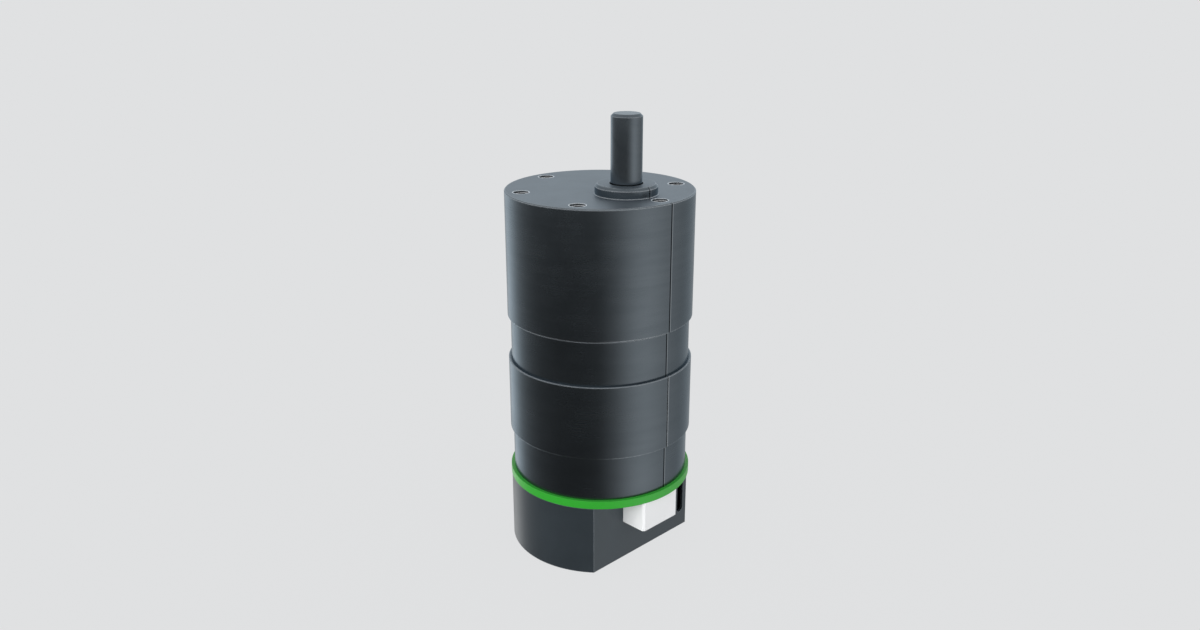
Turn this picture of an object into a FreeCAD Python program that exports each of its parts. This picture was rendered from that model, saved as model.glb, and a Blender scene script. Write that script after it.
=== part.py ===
import FreeCAD, Part
import math
import os
import re
import Sketcher

# Spur gearmotor with an encoder, in millimetres and degrees. Z = 0 is the mounting face of the
# gearbox, Z points out along the output shaft and X points from the motor's axis to that shaft.

SIZES = {
    # Fits that every piece shares
    "running_play": 0.03,
    "press_gap": 0.01,
    "slip_gap": 0.1,
    "end_play": 0.1,
    # Gearbox cup and its boss
    "gearbox_radius": 18.5,
    "gearbox_length": 25.0,
    "gearbox_wall": 1.5,
    "front_wall": 4.5,
    "edge_break": 0.2,
    "boss_radius": 6.0,
    "boss_height": 2.0,
    "boss_chamfer": 0.5,
    "boss_lip": 1.0,
    "mouth_play": 0.25,
    "hole_circle_radius": 15.5,
    "hole_radius": 1.5,
    "hole_depth": 4.0,
    "hole_count": 6,
    # Rear plate and the two screws that hold the motor to it
    "plate_thickness": 2.5,
    "plate_step": 0.4,
    "motor_screw_circle_radius": 12.5,
    "motor_screw_azimuth": -45.0,
    "motor_screw_radius": 1.25,
    "motor_screw_head_radius": 2.25,
    "motor_screw_head_height": 1.2,
    "motor_screw_sink": 1.3,
    "motor_screw_length": 4.0,
    # Output shaft with its bushes, washer and spacer
    "shaft_offset": 7.0,
    "shaft_radius": 3.0,
    "shaft_reach": 15.0,
    "shaft_chamfer": 0.5,
    "shaft_flat_depth": 0.5,
    "shaft_flat_azimuth": 135.0,
    "shaft_shoulder_drop": 2.0,
    "shaft_relief_width": 0.6,
    "shaft_relief_depth": 0.2,
    "shaft_relief_rise": 0.1,
    "journal_radius": 1.75,
    "journal_spacer_wall": 0.75,
    "output_bush_wall": 1.6,
    "rear_bush_wall": 0.75,
    "rear_bush_flange_width": 0.6,
    "rear_bush_flange_thickness": 0.5,
    "output_washer_width": 1.8,
    "washer_thickness": 0.3,
    # Gear train: three fine pairs and a coarser last pair
    "fine_module": 0.5,
    "coarse_module": 0.6,
    "pinion_teeth": 12,
    "wheel_teeth": 24,
    "output_teeth": 27,
    "pressure_angle": 20.0,
    "profile_shift": 0.3,
    "backlash": 0.06,
    "wheel_face": 3.0,
    "output_face": 4.0,
    "face_overlap": 0.2,
    "stage_gap": 0.6,
    "pin_azimuth": 213.0,
    "pin_radius": 1.0,
    "pin_socket": 2.0,
    "pin_washer_width": 0.9,
    "pin_spacer_wall": 0.75,
    # Motor can, flux ring and field magnets
    "can_radius": 17.9,
    "can_length": 33.0,
    "can_wall": 1.0,
    "can_edge": 0.3,
    "hump_radius": 3.7,
    "hump_height": 2.0,
    "hump_mouth_play": 0.4,
    "ring_thickness": 0.59,
    "ring_length": 15.0,
    "ring_setback": 9.0,
    "ring_seam": 0.2,
    "ring_edge": 0.12,
    "magnet_thickness": 3.4,
    "magnet_length": 21.0,
    "magnet_half_angle": 62.0,
    "magnet_azimuth": 90.0,
    "clip_thickness": 0.4,
    "clip_reach": 2.4,
    "clip_length": 15.0,
    # Rotor
    "motor_shaft_radius": 1.6,
    "motor_bush_length": 3.0,
    "air_gap": 0.4,
    "core_length": 16.0,
    "core_setback": 8.0,
    "core_hub_radius": 4.5,
    "pole_count": 5,
    "pole_half_width": 1.6,
    "pole_tip_thickness": 1.6,
    "slot_half_width": 1.1,
    "coil_gap": 0.15,
    "coil_overhang": 2.5,
    "spacer_wall": 1.2,
    "commutator_radius": 4.4,
    "commutator_hub_radius": 3.0,
    "commutator_length": 3.8,
    "commutator_setback": 0.5,
    "commutator_slit_angle": 6.0,
    # End cap, brushes and their holders
    "cap_thickness": 1.5,
    "cap_rim_wall": 1.9,
    "cap_rim_height": 3.0,
    "cap_boss_radius": 4.6,
    "cap_boss_reach": 2.4,
    "cap_boss_floor": 0.5,
    "brush_width": 3.0,
    "brush_height": 2.8,
    "brush_length": 4.2,
    "holder_wall": 0.4,
    "holder_setback": 0.8,
    "spring_thickness": 0.2,
    "spring_length": 2.0,
    "terminal_width": 2.5,
    "terminal_reach": 1.4,
    # Encoder board and what it carries
    "board_overhang": 0.1,
    "board_thickness": 1.6,
    "encoder_magnet_radius": 5.0,
    "encoder_magnet_length": 3.0,
    "encoder_magnet_drop": 2.0,
    "magnet_hub_wall": 1.0,
    "sensor_gap": 1.0,
    "sensor_width": 4.0,
    "sensor_height": 3.0,
    "sensor_thickness": 1.5,
    "sensor_azimuth": 180.0,
    "sensor_spread": 44.0,
    "sensor_stand": 1.0,
    "sensor_lead_width": 0.4,
    "sensor_lead_pitch": 1.27,
    "chip_length": 2.0,
    "chip_width": 1.25,
    "chip_height": 0.6,
    "chip_circle_radius": 14.6,
    "chip_spread": 14.0,
    "chip_count": 4,
    # Connector
    "connector_depth": 5.66,
    "connector_width": 10.0,
    "connector_height": 6.25,
    "connector_offset": -0.6,
    "connector_corner": 0.42,
    "connector_wall": 0.8,
    "connector_floor": 1.3,
    "connector_key_width": 1.2,
    "connector_key_spread": 5.0,
    "connector_pin_width": 0.5,
    "connector_pin_pitch": 2.0,
    "connector_pin_length": 4.0,
    "connector_pin_count": 4,
    "connector_pin_hole_radius": 0.45,
    # Cover
    "cover_radius": 18.5,
    "cover_height": 14.4,
    "cover_flat": 12.2,
    "cover_wall": 1.0,
    "cover_flat_wall": 0.7,
    "cover_floor": 1.5,
    "lead_slot_width": 1.8,
    "lead_slot_depth": 11.1,
    "lead_slot_offset": 12.0,
    "cover_screw_circle_radius": 13.0,
    "cover_screw_radius": 1.0,
    "cover_screw_head_radius": 1.8,
    "cover_screw_head_height": 1.2,
    "cover_screw_sink": 1.4,
    "cover_screw_bite": 3.0,
    "cover_post_radius": 2.3,
    "screw_slot_width": 0.5,
    "screw_slot_depth": 0.5,
}

# Places worked out from the sizes. Heights are along Z, from the mounting face.
PLACES = {
    "cavity_radius": "gearbox_radius - gearbox_wall",
    "cavity_front": "-front_wall",
    "plate_front": "-(gearbox_length - plate_thickness)",
    "plate_rear": "-gearbox_length",
    "plate_seat_radius": "cavity_radius + plate_step",
    "bush_top": "boss_height - boss_lip",
    "output_bush_radius": "shaft_radius + running_play + output_bush_wall",
    "rear_bush_radius": "journal_radius + running_play + rear_bush_wall",
    "washer_rear": "cavity_front - washer_thickness",
    "output_top": "washer_rear - 2 * end_play",
    "output_bottom": "output_top - output_face",
    "shoulder_height": "output_bottom - shaft_shoulder_drop",
    "relief_top": "boss_height + shaft_relief_rise",
    "shaft_flat_length": "shaft_reach - relief_top",
    "journal_end": "plate_rear + end_play",
    "third_top": "washer_rear - end_play",
    "third_wheel_top": "output_bottom - stage_gap",
    "third_bottom": "third_wheel_top - wheel_face",
    "middle_washer_front": "third_bottom - end_play",
    "first_top": "middle_washer_front - washer_thickness - end_play",
    "second_top": "third_wheel_top + face_overlap",
    "second_wheel_top": "first_top - face_overlap",
    "second_bottom": "second_wheel_top - wheel_face",
    "first_wheel_top": "second_bottom - stage_gap",
    "first_bottom": "first_wheel_top - wheel_face",
    "motor_pinion_top": "first_wheel_top + face_overlap",
    "motor_pinion_bottom": "first_bottom - face_overlap",
    "fine_centres": "fine_module * (pinion_teeth + wheel_teeth) / 2",
    "coarse_centres": "coarse_module * (pinion_teeth + output_teeth) / 2",
    "pin_1_x": "(shaft_offset^2 + fine_centres^2 - coarse_centres^2) / (2 * shaft_offset)",
    "pin_1_y": "sqrt(fine_centres^2 - pin_1_x^2)",
    "pin_2_x": "pin_1_x + fine_centres * cos(pin_azimuth)",
    "pin_2_y": "pin_1_y + fine_centres * sin(pin_azimuth)",
    "screw_x": "motor_screw_circle_radius * cos(motor_screw_azimuth)",
    "screw_y": "motor_screw_circle_radius * sin(motor_screw_azimuth)",
    "can_front": "-gearbox_length",
    "can_rear": "can_front - can_length",
    "can_inner": "can_radius - can_wall",
    "hump_top": "can_front + hump_height",
    "motor_bush_radius": "hump_radius - can_wall - press_gap",
    "front_bush_top": "hump_top - can_wall",
    "front_bush_bottom": "front_bush_top - motor_bush_length",
    "core_radius": "can_inner - press_gap - magnet_thickness - air_gap",
    "core_front": "can_front - core_setback",
    "core_rear": "core_front - core_length",
    "magnet_front": "(core_front + core_rear + magnet_length) / 2",
    "clip_front": "(core_front + core_rear + clip_length) / 2",
    "pole_pitch": "180 / pole_count",
    "slot_root": "core_hub_radius",
    "slot_shoulder": "core_radius - pole_tip_thickness",
    "cap_front": "can_rear + cap_thickness",
    "cap_tail": "can_rear - cap_boss_reach",
    "rear_bush_bottom": "cap_tail + cap_boss_floor",
    "rear_bush_top": "rear_bush_bottom + motor_bush_length",
    "commutator_rear": "cap_front + commutator_setback",
    "commutator_front": "commutator_rear + commutator_length",
    "brush_middle": "(commutator_rear + commutator_front) / 2",
    "brush_start": "commutator_radius + running_play",
    "brush_back": "brush_start + brush_length",
    "holder_start": "brush_start + holder_setback",
    "spring_end": "brush_back + spring_length",
    "holder_end": "spring_end + holder_wall",
    "holder_bottom": "brush_middle - brush_height / 2 - running_play - holder_wall",
    "holder_top": "brush_middle + brush_height / 2 + running_play + holder_wall",
    "holder_half": "brush_width / 2 + running_play + holder_wall",
    "board_radius": "cover_radius + board_overhang",
    "board_front": "can_rear",
    "board_rear": "board_front - board_thickness",
    "terminal_end": "board_rear - terminal_reach",
    "magnet_top": "board_rear - encoder_magnet_drop",
    "magnet_bottom": "magnet_top - encoder_magnet_length",
    "hub_radius": "motor_shaft_radius + magnet_hub_wall",
    "rotor_tail": "magnet_bottom - magnet_hub_wall",
    "connector_back": "cover_flat + press_gap",
    "connector_front": "connector_back + connector_depth",
    "connector_bottom": "board_rear - connector_height",
    "connector_middle": "(connector_back + connector_front) / 2",
    "connector_left": "connector_offset - connector_width / 2",
    "connector_right": "connector_offset + connector_width / 2",
    "cover_bottom": "board_rear - cover_height",
    "cover_floor_top": "cover_bottom + cover_floor",
    "slot_low": "board_rear - lead_slot_depth + lead_slot_width / 2",
    "screw_seat": "cover_bottom + cover_screw_sink",
    "screw_tip": "cap_front + cover_screw_bite",
}

# How far a cutting profile starts outside the solid that it cuts
BEYOND = "1"

doc = FreeCAD.newDocument("WheelMotor")
sheet = doc.addObject("Spreadsheet::Sheet", "Sizes")
for row, (alias, number) in enumerate(SIZES.items(), start=1):
    sheet.set(f"A{row}", alias.replace("_", " "))
    sheet.set(f"B{row}", str(number))
    sheet.setAlias(f"B{row}", alias)
doc.recompute()

pieces = []


def formula(text):
    """Spells a formula out in cells of the sheet."""

    def spell(match):
        word = match.group()
        if word in PLACES:
            return "(" + formula(PLACES[word]) + ")"
        return "Sizes." + word if word in SIZES else word

    return re.sub(r"[a-z][a-z0-9_]*", spell, str(text))


def value(text):
    return float(sheet.evalExpression(formula(text)))


def new_piece(name, x="0", y="0", turned="0"):
    """Starts a piece that stands at x, y and is turned about Z."""
    piece = doc.addObject("PartDesign::Body", name)
    piece.Label = name
    piece.Placement.Rotation = FreeCAD.Rotation(FreeCAD.Vector(0, 0, 1), value(turned))
    piece.setExpression("Placement.Base.x", formula(x))
    piece.setExpression("Placement.Base.y", formula(y))
    if turned != "0":
        piece.setExpression("Placement.Rotation.Angle", formula(turned))
    pieces.append(piece)
    return piece


def origin(piece, role):
    return next(item for item in piece.Origin.OriginFeatures if item.Role == role)


def new_sketch(piece, name, role="XY_Plane", height="0"):
    sketch = piece.newObject("Sketcher::SketchObject", name + "_sketch")
    sketch.AttachmentSupport = [(origin(piece, role), "")]
    sketch.MapMode = "FlatFace"
    sketch.setExpression("AttachmentOffset.Base.z", formula(height))
    return sketch


def hold(sketch, kind, places, text):
    """Adds a constraint whose size follows a formula."""
    index = sketch.addConstraint(Sketcher.Constraint(kind, *places, value(text)))
    sketch.setExpression(f"Constraints[{index}]", formula(text))


def draw_outline(sketch, corners):
    """Draws a closed outline of straight sides through the corners."""
    points = [FreeCAD.Vector(value(x), value(y), 0) for x, y in corners]
    sides = [sketch.addGeometry(Part.LineSegment(a, b)) for a, b in zip(points, points[1:] + points[:1])]
    for side, following in zip(sides, sides[1:] + sides[:1]):
        sketch.addConstraint(Sketcher.Constraint("Coincident", side, 2, following, 1))
    for side, (x, y) in zip(sides, corners):
        hold(sketch, "DistanceX", (-1, 1, side, 1), x)
        hold(sketch, "DistanceY", (-1, 1, side, 1), y)


def draw_box(sketch, left, right, low, high):
    draw_outline(sketch, [(left, low), (right, low), (right, high), (left, high)])


def draw_circle(sketch, x, y, radius):
    centre = FreeCAD.Vector(value(x), value(y), 0)
    index = sketch.addGeometry(Part.Circle(centre, FreeCAD.Vector(0, 0, 1), value(radius)))
    hold(sketch, "DistanceX", (-1, 1, index, 3), x)
    hold(sketch, "DistanceY", (-1, 1, index, 3), y)
    hold(sketch, "Radius", (index,), radius)


def draw_flatted_circle(sketch, radius, flat):
    """Draws a circle about the axis that is cut straight at x = flat."""
    corner = math.acos(value(flat) / value(radius))
    circle = Part.Circle(FreeCAD.Vector(0, 0, 0), FreeCAD.Vector(0, 0, 1), value(radius))
    arc = sketch.addGeometry(Part.ArcOfCircle(circle, corner, 2 * math.pi - corner))
    high = FreeCAD.Vector(value(flat), value(radius) * math.sin(corner), 0)
    low = FreeCAD.Vector(high.x, -high.y, 0)
    chord = sketch.addGeometry(Part.LineSegment(low, high))
    sketch.addConstraint(Sketcher.Constraint("Coincident", arc, 3, -1, 1))
    sketch.addConstraint(Sketcher.Constraint("Coincident", arc, 1, chord, 2))
    sketch.addConstraint(Sketcher.Constraint("Coincident", arc, 2, chord, 1))
    sketch.addConstraint(Sketcher.Constraint("Vertical", chord))
    hold(sketch, "Radius", (arc,), radius)
    hold(sketch, "DistanceX", (-1, 1, chord, 1), flat)


def settle(piece, feature, grows):
    """Recomputes and makes sure that the feature added or removed material."""
    before = 0.0 if piece.Shape.isNull() else piece.Shape.Volume
    piece.Tip = feature
    doc.recompute()
    after = piece.Shape.Volume
    if not (after > before if grows else after < before):
        raise ValueError(f"{feature.Name} of {piece.Label} changed nothing: {before} to {after}")
    return feature


def pad(piece, name, sketch, length):
    """Raises the sketch upwards by length."""
    feature = piece.newObject("PartDesign::Pad", name)
    feature.Profile = sketch
    feature.setExpression("Length", formula(length))
    return settle(piece, feature, grows=True)


def pocket(piece, name, sketch, length):
    """Cuts the sketch upwards by length."""
    feature = piece.newObject("PartDesign::Pocket", name)
    feature.Profile = sketch
    feature.Reversed = True
    feature.setExpression("Length", formula(length))
    return settle(piece, feature, grows=False)


def revolve(piece, name, corners, axis="0", angle="360", cutting=False):
    """Turns a profile of x, z corners about the upright line at x = axis."""
    sketch = new_sketch(piece, name, "XZ_Plane")
    draw_outline(sketch, corners)
    feature = piece.newObject("PartDesign::Groove" if cutting else "PartDesign::Revolution", name)
    feature.Profile = sketch
    if axis == "0":
        feature.ReferenceAxis = (sketch, ["V_Axis"])
    else:
        low = FreeCAD.Vector(value(axis), 0, 0)
        high = FreeCAD.Vector(value(axis), 1, 0)
        line = sketch.addGeometry(Part.LineSegment(low, high), True)
        sketch.addConstraint(Sketcher.Constraint("Vertical", line))
        hold(sketch, "DistanceX", (-1, 1, line, 1), axis)
        hold(sketch, "DistanceY", (-1, 1, line, 1), "0")
        hold(sketch, "DistanceY", (-1, 1, line, 2), "1")
        feature.ReferenceAxis = (sketch, ["Axis0"])
    feature.Midplane = angle != "360"
    feature.setExpression("Angle", formula(angle))
    return settle(piece, feature, grows=not cutting)


def repeat(piece, name, features, count, grows):
    """Repeats features evenly about the piece's own Z axis."""
    feature = piece.newObject("PartDesign::PolarPattern", name)
    feature.Originals = features
    feature.Axis = (origin(piece, "Z_Axis"), [""])
    feature.Angle = 360
    feature.setExpression("Occurrences", formula(count))
    return settle(piece, feature, grows)


def sleeve(name, inner, outer, low, high, x="0", y="0"):
    """Makes a plain round sleeve or washer."""
    piece = new_piece(name, x, y)
    revolve(piece, name + "_turn", [(inner, low), (outer, low), (outer, high), (inner, high)])
    return piece


# Gearbox cup: die-cast, open at the rear, with the boss and the tapped mounting holes in front.
housing = new_piece("gearbox_housing")
revolve(housing, "cup", [
    ("0", "0"),
    ("gearbox_radius - edge_break", "0"),
    ("gearbox_radius", "-edge_break"),
    ("gearbox_radius", "plate_rear"),
    ("plate_seat_radius", "plate_rear"),
    ("plate_seat_radius", "plate_front"),
    ("cavity_radius", "plate_front"),
    ("cavity_radius", "cavity_front"),
    ("0", "cavity_front"),
])
revolve(housing, "boss", [
    ("shaft_offset", "cavity_front / 2"),
    ("shaft_offset + boss_radius", "cavity_front / 2"),
    ("shaft_offset + boss_radius", "boss_height - boss_chamfer"),
    ("shaft_offset + boss_radius - boss_chamfer", "boss_height"),
    ("shaft_offset", "boss_height"),
], axis="shaft_offset")
revolve(housing, "bush_bore", [
    ("shaft_offset", "cavity_front - " + BEYOND),
    ("shaft_offset + output_bush_radius + press_gap", "cavity_front - " + BEYOND),
    ("shaft_offset + output_bush_radius + press_gap", "bush_top"),
    ("shaft_offset + shaft_radius + mouth_play", "bush_top"),
    ("shaft_offset + shaft_radius + mouth_play", "boss_height + " + BEYOND),
    ("shaft_offset", "boss_height + " + BEYOND),
], axis="shaft_offset", cutting=True)
mounting_hole = revolve(housing, "mounting_hole", [
    ("hole_circle_radius", "-hole_depth"),
    ("hole_circle_radius + hole_radius", "-hole_depth"),
    ("hole_circle_radius + hole_radius", BEYOND),
    ("hole_circle_radius", BEYOND),
], axis="hole_circle_radius", cutting=True)
repeat(housing, "mounting_holes", [mounting_hole], "hole_count", grows=False)
sockets = new_sketch(housing, "pin_sockets", height="cavity_front - " + BEYOND)
draw_circle(sockets, "pin_1_x", "pin_1_y", "pin_radius + press_gap")
draw_circle(sockets, "pin_2_x", "pin_2_y", "pin_radius + press_gap")
pocket(housing, "pin_sockets", sockets, "pin_socket + " + BEYOND)

# Rear plate: blanked steel, pressed against the step in the cup's rim.
plate = new_piece("gearbox_rear_plate")
revolve(plate, "disc", [
    ("0", "plate_rear"),
    ("plate_seat_radius - press_gap", "plate_rear"),
    ("plate_seat_radius - press_gap", "plate_front"),
    ("0", "plate_front"),
])
plate_holes = new_sketch(plate, "plate_holes", height="plate_rear - " + BEYOND)
draw_circle(plate_holes, "0", "0", "hump_radius + slip_gap")
draw_circle(plate_holes, "shaft_offset", "0", "rear_bush_radius + press_gap")
draw_circle(plate_holes, "pin_1_x", "pin_1_y", "pin_radius + press_gap")
draw_circle(plate_holes, "pin_2_x", "pin_2_y", "pin_radius + press_gap")
for side in ("1", "-1"):
    draw_circle(plate_holes, side + " * screw_x", side + " * screw_y", "motor_screw_radius + slip_gap")
pocket(plate, "plate_holes", plate_holes, "plate_thickness + 2 * " + BEYOND)
head_sinks = new_sketch(plate, "head_sinks", height="plate_front - motor_screw_sink")
for side in ("1", "-1"):
    draw_circle(head_sinks, side + " * screw_x", side + " * screw_y", "motor_screw_head_radius + slip_gap")
pocket(plate, "head_sinks", head_sinks, "motor_screw_sink + " + BEYOND)

# Cheese-head screws that hold the motor to the plate, each with a straight slot.
screws = new_piece("motor_screws")
shanks = new_sketch(screws, "shanks", height="plate_front - motor_screw_sink - motor_screw_length")
heads = new_sketch(screws, "heads", height="plate_front - motor_screw_sink")
slots = new_sketch(
    screws, "slots", height="plate_front - motor_screw_sink + motor_screw_head_height - screw_slot_depth"
)
for side in ("1", "-1"):
    draw_circle(shanks, side + " * screw_x", side + " * screw_y", "motor_screw_radius")
    draw_circle(heads, side + " * screw_x", side + " * screw_y", "motor_screw_head_radius")
    draw_box(
        slots,
        side + " * screw_x - motor_screw_head_radius - slip_gap",
        side + " * screw_x + motor_screw_head_radius + slip_gap",
        side + " * screw_y - screw_slot_width / 2",
        side + " * screw_y + screw_slot_width / 2",
    )
pad(screws, "shanks", shanks, "motor_screw_length")
pad(screws, "heads", heads, "motor_screw_head_height")
pocket(screws, "slots", slots, "screw_slot_depth + " + BEYOND)

# Output shaft: ground steel with a grinding relief at the boss and a thinner rear journal. The flat
# for the wheel's hub runs from the tip down to the relief.
shaft = new_piece("output_shaft", x="shaft_offset", turned="shaft_flat_azimuth")
revolve(shaft, "shaft_turn", [
    ("0", "shaft_reach"),
    ("shaft_radius - shaft_chamfer", "shaft_reach"),
    ("shaft_radius", "shaft_reach - shaft_chamfer"),
    ("shaft_radius", "relief_top"),
    ("shaft_radius - shaft_relief_depth", "relief_top"),
    ("shaft_radius - shaft_relief_depth", "relief_top - shaft_relief_width"),
    ("shaft_radius", "relief_top - shaft_relief_width"),
    ("shaft_radius", "shoulder_height"),
    ("journal_radius", "shoulder_height"),
    ("journal_radius", "journal_end"),
    ("0", "journal_end"),
])
flat = new_sketch(shaft, "shaft_flat", height="relief_top")
draw_box(
    flat, "shaft_radius - shaft_flat_depth", "shaft_radius + " + BEYOND, "-shaft_radius", "shaft_radius"
)
pocket(shaft, "shaft_flat", flat, "shaft_flat_length + " + BEYOND)

sleeve("output_front_bush", "shaft_radius + running_play", "output_bush_radius",
       "cavity_front", "bush_top", x="shaft_offset")
sleeve("output_washer", "shaft_radius + slip_gap", "shaft_radius + slip_gap + output_washer_width",
       "washer_rear", "cavity_front", x="shaft_offset")
sleeve("output_spacer", "journal_radius + press_gap", "journal_radius + press_gap + journal_spacer_wall",
       "plate_front + rear_bush_flange_thickness + 2 * end_play", "shoulder_height", x="shaft_offset")
rear_bush = new_piece("output_rear_bush", x="shaft_offset")
revolve(rear_bush, "rear_bush_turn", [
    ("journal_radius + running_play", "journal_end"),
    ("rear_bush_radius", "journal_end"),
    ("rear_bush_radius", "plate_front"),
    ("rear_bush_radius + rear_bush_flange_width", "plate_front"),
    ("rear_bush_radius + rear_bush_flange_width", "plate_front + rear_bush_flange_thickness"),
    ("journal_radius + running_play", "plate_front + rear_bush_flange_thickness"),
])

# Fixed pins of the three cluster gears, with the washers and sleeves that set their heights.
for name, x, y in (("lay_pin_1", "pin_1_x", "pin_1_y"), ("lay_pin_2", "pin_2_x", "pin_2_y")):
    pin = new_piece(name, x, y)
    bar = new_sketch(pin, name + "_bar", height="plate_rear + end_play")
    draw_circle(bar, "0", "0", "pin_radius")
    pad(pin, name + "_bar", bar, "cavity_front + pin_socket - plate_rear - 2 * end_play")
pin_washers = new_piece("pin_washers", "pin_1_x", "pin_1_y")
for name, low in (
    ("front_washer", "washer_rear"),
    ("middle_washer", "middle_washer_front - washer_thickness"),
):
    ring = new_sketch(pin_washers, name, height=low)
    draw_circle(ring, "0", "0", "pin_radius + running_play")
    draw_circle(ring, "0", "0", "pin_radius + running_play + pin_washer_width")
    pad(pin_washers, name, ring, "washer_thickness")
spacer_outer = "pin_radius + running_play + pin_spacer_wall"
sleeve("first_pin_spacer", "pin_radius + running_play", spacer_outer,
       "plate_front", "first_bottom - end_play", "pin_1_x", "pin_1_y")
sleeve("second_pin_front_spacer", "pin_radius + running_play", spacer_outer,
       "second_top + end_play", "cavity_front", "pin_2_x", "pin_2_y")
sleeve("second_pin_rear_spacer", "pin_radius + running_play", spacer_outer,
       "plate_front", "second_bottom - end_play", "pin_2_x", "pin_2_y")


# Involute gears, cut with a shifted profile so that the small pinions aren't undercut. A tooth stands
# one module above the pitch circle, and its foot is DEDENDUM modules below it.
DEDENDUM = 1.25


def involute(angle):
    return math.tan(angle) - angle


def gear_face(module, teeth, shift, bore):
    """Makes the end face of a spur gear, with the middle of one tooth on X and a round bore."""
    pressure = math.radians(value("pressure_angle"))
    pitch_radius = module * teeth / 2
    base_radius = pitch_radius * math.cos(pressure)
    tip_radius = pitch_radius + module * (1 + shift)
    root_radius = pitch_radius - module * (DEDENDUM - shift)
    start_radius = max(base_radius, root_radius)
    half_tooth = (math.pi / 2 + 2 * shift * math.tan(pressure)) / teeth
    half_tooth -= value("backlash") / (4 * pitch_radius)

    def on_flank(radius, middle, side):
        reach = min(1.0, base_radius / radius)
        turn = middle + side * (half_tooth + involute(pressure) - involute(math.acos(reach)))
        return FreeCAD.Vector(radius * math.cos(turn), radius * math.sin(turn), 0)

    edges = []
    pitch_angle = 2 * math.pi / teeth
    middle_radius = (start_radius + tip_radius) / 2
    for tooth in range(teeth):
        middle = tooth * pitch_angle
        rise = [on_flank(r, middle, -1) for r in (start_radius, middle_radius, tip_radius)]
        fall = [on_flank(r, middle, 1) for r in (tip_radius, middle_radius, start_radius)]
        following = on_flank(start_radius, middle + pitch_angle, -1)
        foot = fall[-1] * (root_radius / start_radius)
        next_foot = following * (root_radius / start_radius)
        edges.append(Part.Arc(*rise).toShape())
        edges.append(Part.LineSegment(rise[-1], fall[0]).toShape())
        edges.append(Part.Arc(*fall).toShape())
        if start_radius > root_radius:
            edges.append(Part.LineSegment(fall[-1], foot).toShape())
        edges.append(Part.LineSegment(foot, next_foot).toShape())
        if start_radius > root_radius:
            edges.append(Part.LineSegment(next_foot, following).toShape())
    hole = Part.Wire(Part.Circle(FreeCAD.Vector(0, 0, 0), FreeCAD.Vector(0, 0, 1), bore).toShape())
    return Part.makeFace([Part.Wire(edges), hole], "Part::FaceMakerBullseye")


def toothed(module, teeth, shift, bore, low, high):
    """Extrudes a gear's face between two heights."""
    face = gear_face(module, teeth, shift, bore)
    face.translate(FreeCAD.Vector(0, 0, low))
    return face.extrude(FreeCAD.Vector(0, 0, high - low))


def add_gear(name, shape, x, y, turned):
    """Places a finished gear on its axis, turned so that its teeth mesh."""
    gear = doc.addObject("Part::Feature", name)
    gear.Label = name
    gear.Shape = shape.removeSplitter()
    centre = FreeCAD.Vector(value(x), value(y), 0)
    spin = FreeCAD.Rotation(FreeCAD.Vector(0, 0, 1), math.degrees(turned))
    gear.Placement = FreeCAD.Placement(centre, spin)
    pieces.append(gear)


def meshed(turned, teeth, driven_teeth, start, end):
    """Gives the turn of a driven gear at end that meshes with a driver at start, by tooth counts."""
    direction = math.atan2(value(end[1]) - value(start[1]), value(end[0]) - value(start[0]))
    driver_pitch = 2 * math.pi / teeth
    driven_pitch = 2 * math.pi / driven_teeth
    return direction + math.pi - driven_pitch * (0.5 - (direction - turned) / driver_pitch)


FINE = value("fine_module")
COARSE = value("coarse_module")
PINION = int(value("pinion_teeth"))
WHEEL = int(value("wheel_teeth"))
OUTPUT = int(value("output_teeth"))
SHIFT = value("profile_shift")
LOOSE_BORE = value("pin_radius + running_play")

MOTOR_AXIS = ("0", "0")
PIN_1 = ("pin_1_x", "pin_1_y")
PIN_2 = ("pin_2_x", "pin_2_y")
OUTPUT_AXIS = ("shaft_offset", "0")

motor_turn = 0.0
first_turn = meshed(motor_turn, PINION, WHEEL, MOTOR_AXIS, PIN_1)
second_turn = meshed(first_turn, PINION, WHEEL, PIN_1, PIN_2)
third_turn = meshed(second_turn, PINION, WHEEL, PIN_2, PIN_1)
output_turn = meshed(third_turn, PINION, OUTPUT, PIN_1, OUTPUT_AXIS)


def cluster(pinion_module, low, wheel_top, top):
    """Makes a cluster gear: a wheel from low to wheel_top with a pinion on it up to top."""
    wheel = toothed(FINE, WHEEL, -SHIFT, LOOSE_BORE, value(low), value(wheel_top))
    pinion = toothed(pinion_module, PINION, SHIFT, LOOSE_BORE, value(wheel_top), value(top))
    return wheel.fuse(pinion)


add_gear("motor_pinion", toothed(FINE, PINION, SHIFT, value("motor_shaft_radius + press_gap"),
                                 value("motor_pinion_bottom"), value("motor_pinion_top")),
         *MOTOR_AXIS, motor_turn)
add_gear("first_gear", cluster(FINE, "first_bottom", "first_wheel_top", "first_top"),
         *PIN_1, first_turn)
add_gear("second_gear", cluster(FINE, "second_bottom", "second_wheel_top", "second_top"),
         *PIN_2, second_turn)
add_gear("third_gear", cluster(COARSE, "third_bottom", "third_wheel_top", "third_top"),
         *PIN_1, third_turn)
add_gear("output_wheel", toothed(COARSE, OUTPUT, -SHIFT, value("shaft_radius + press_gap"),
                                 value("output_bottom"), value("output_top")),
         *OUTPUT_AXIS, output_turn)

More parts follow.
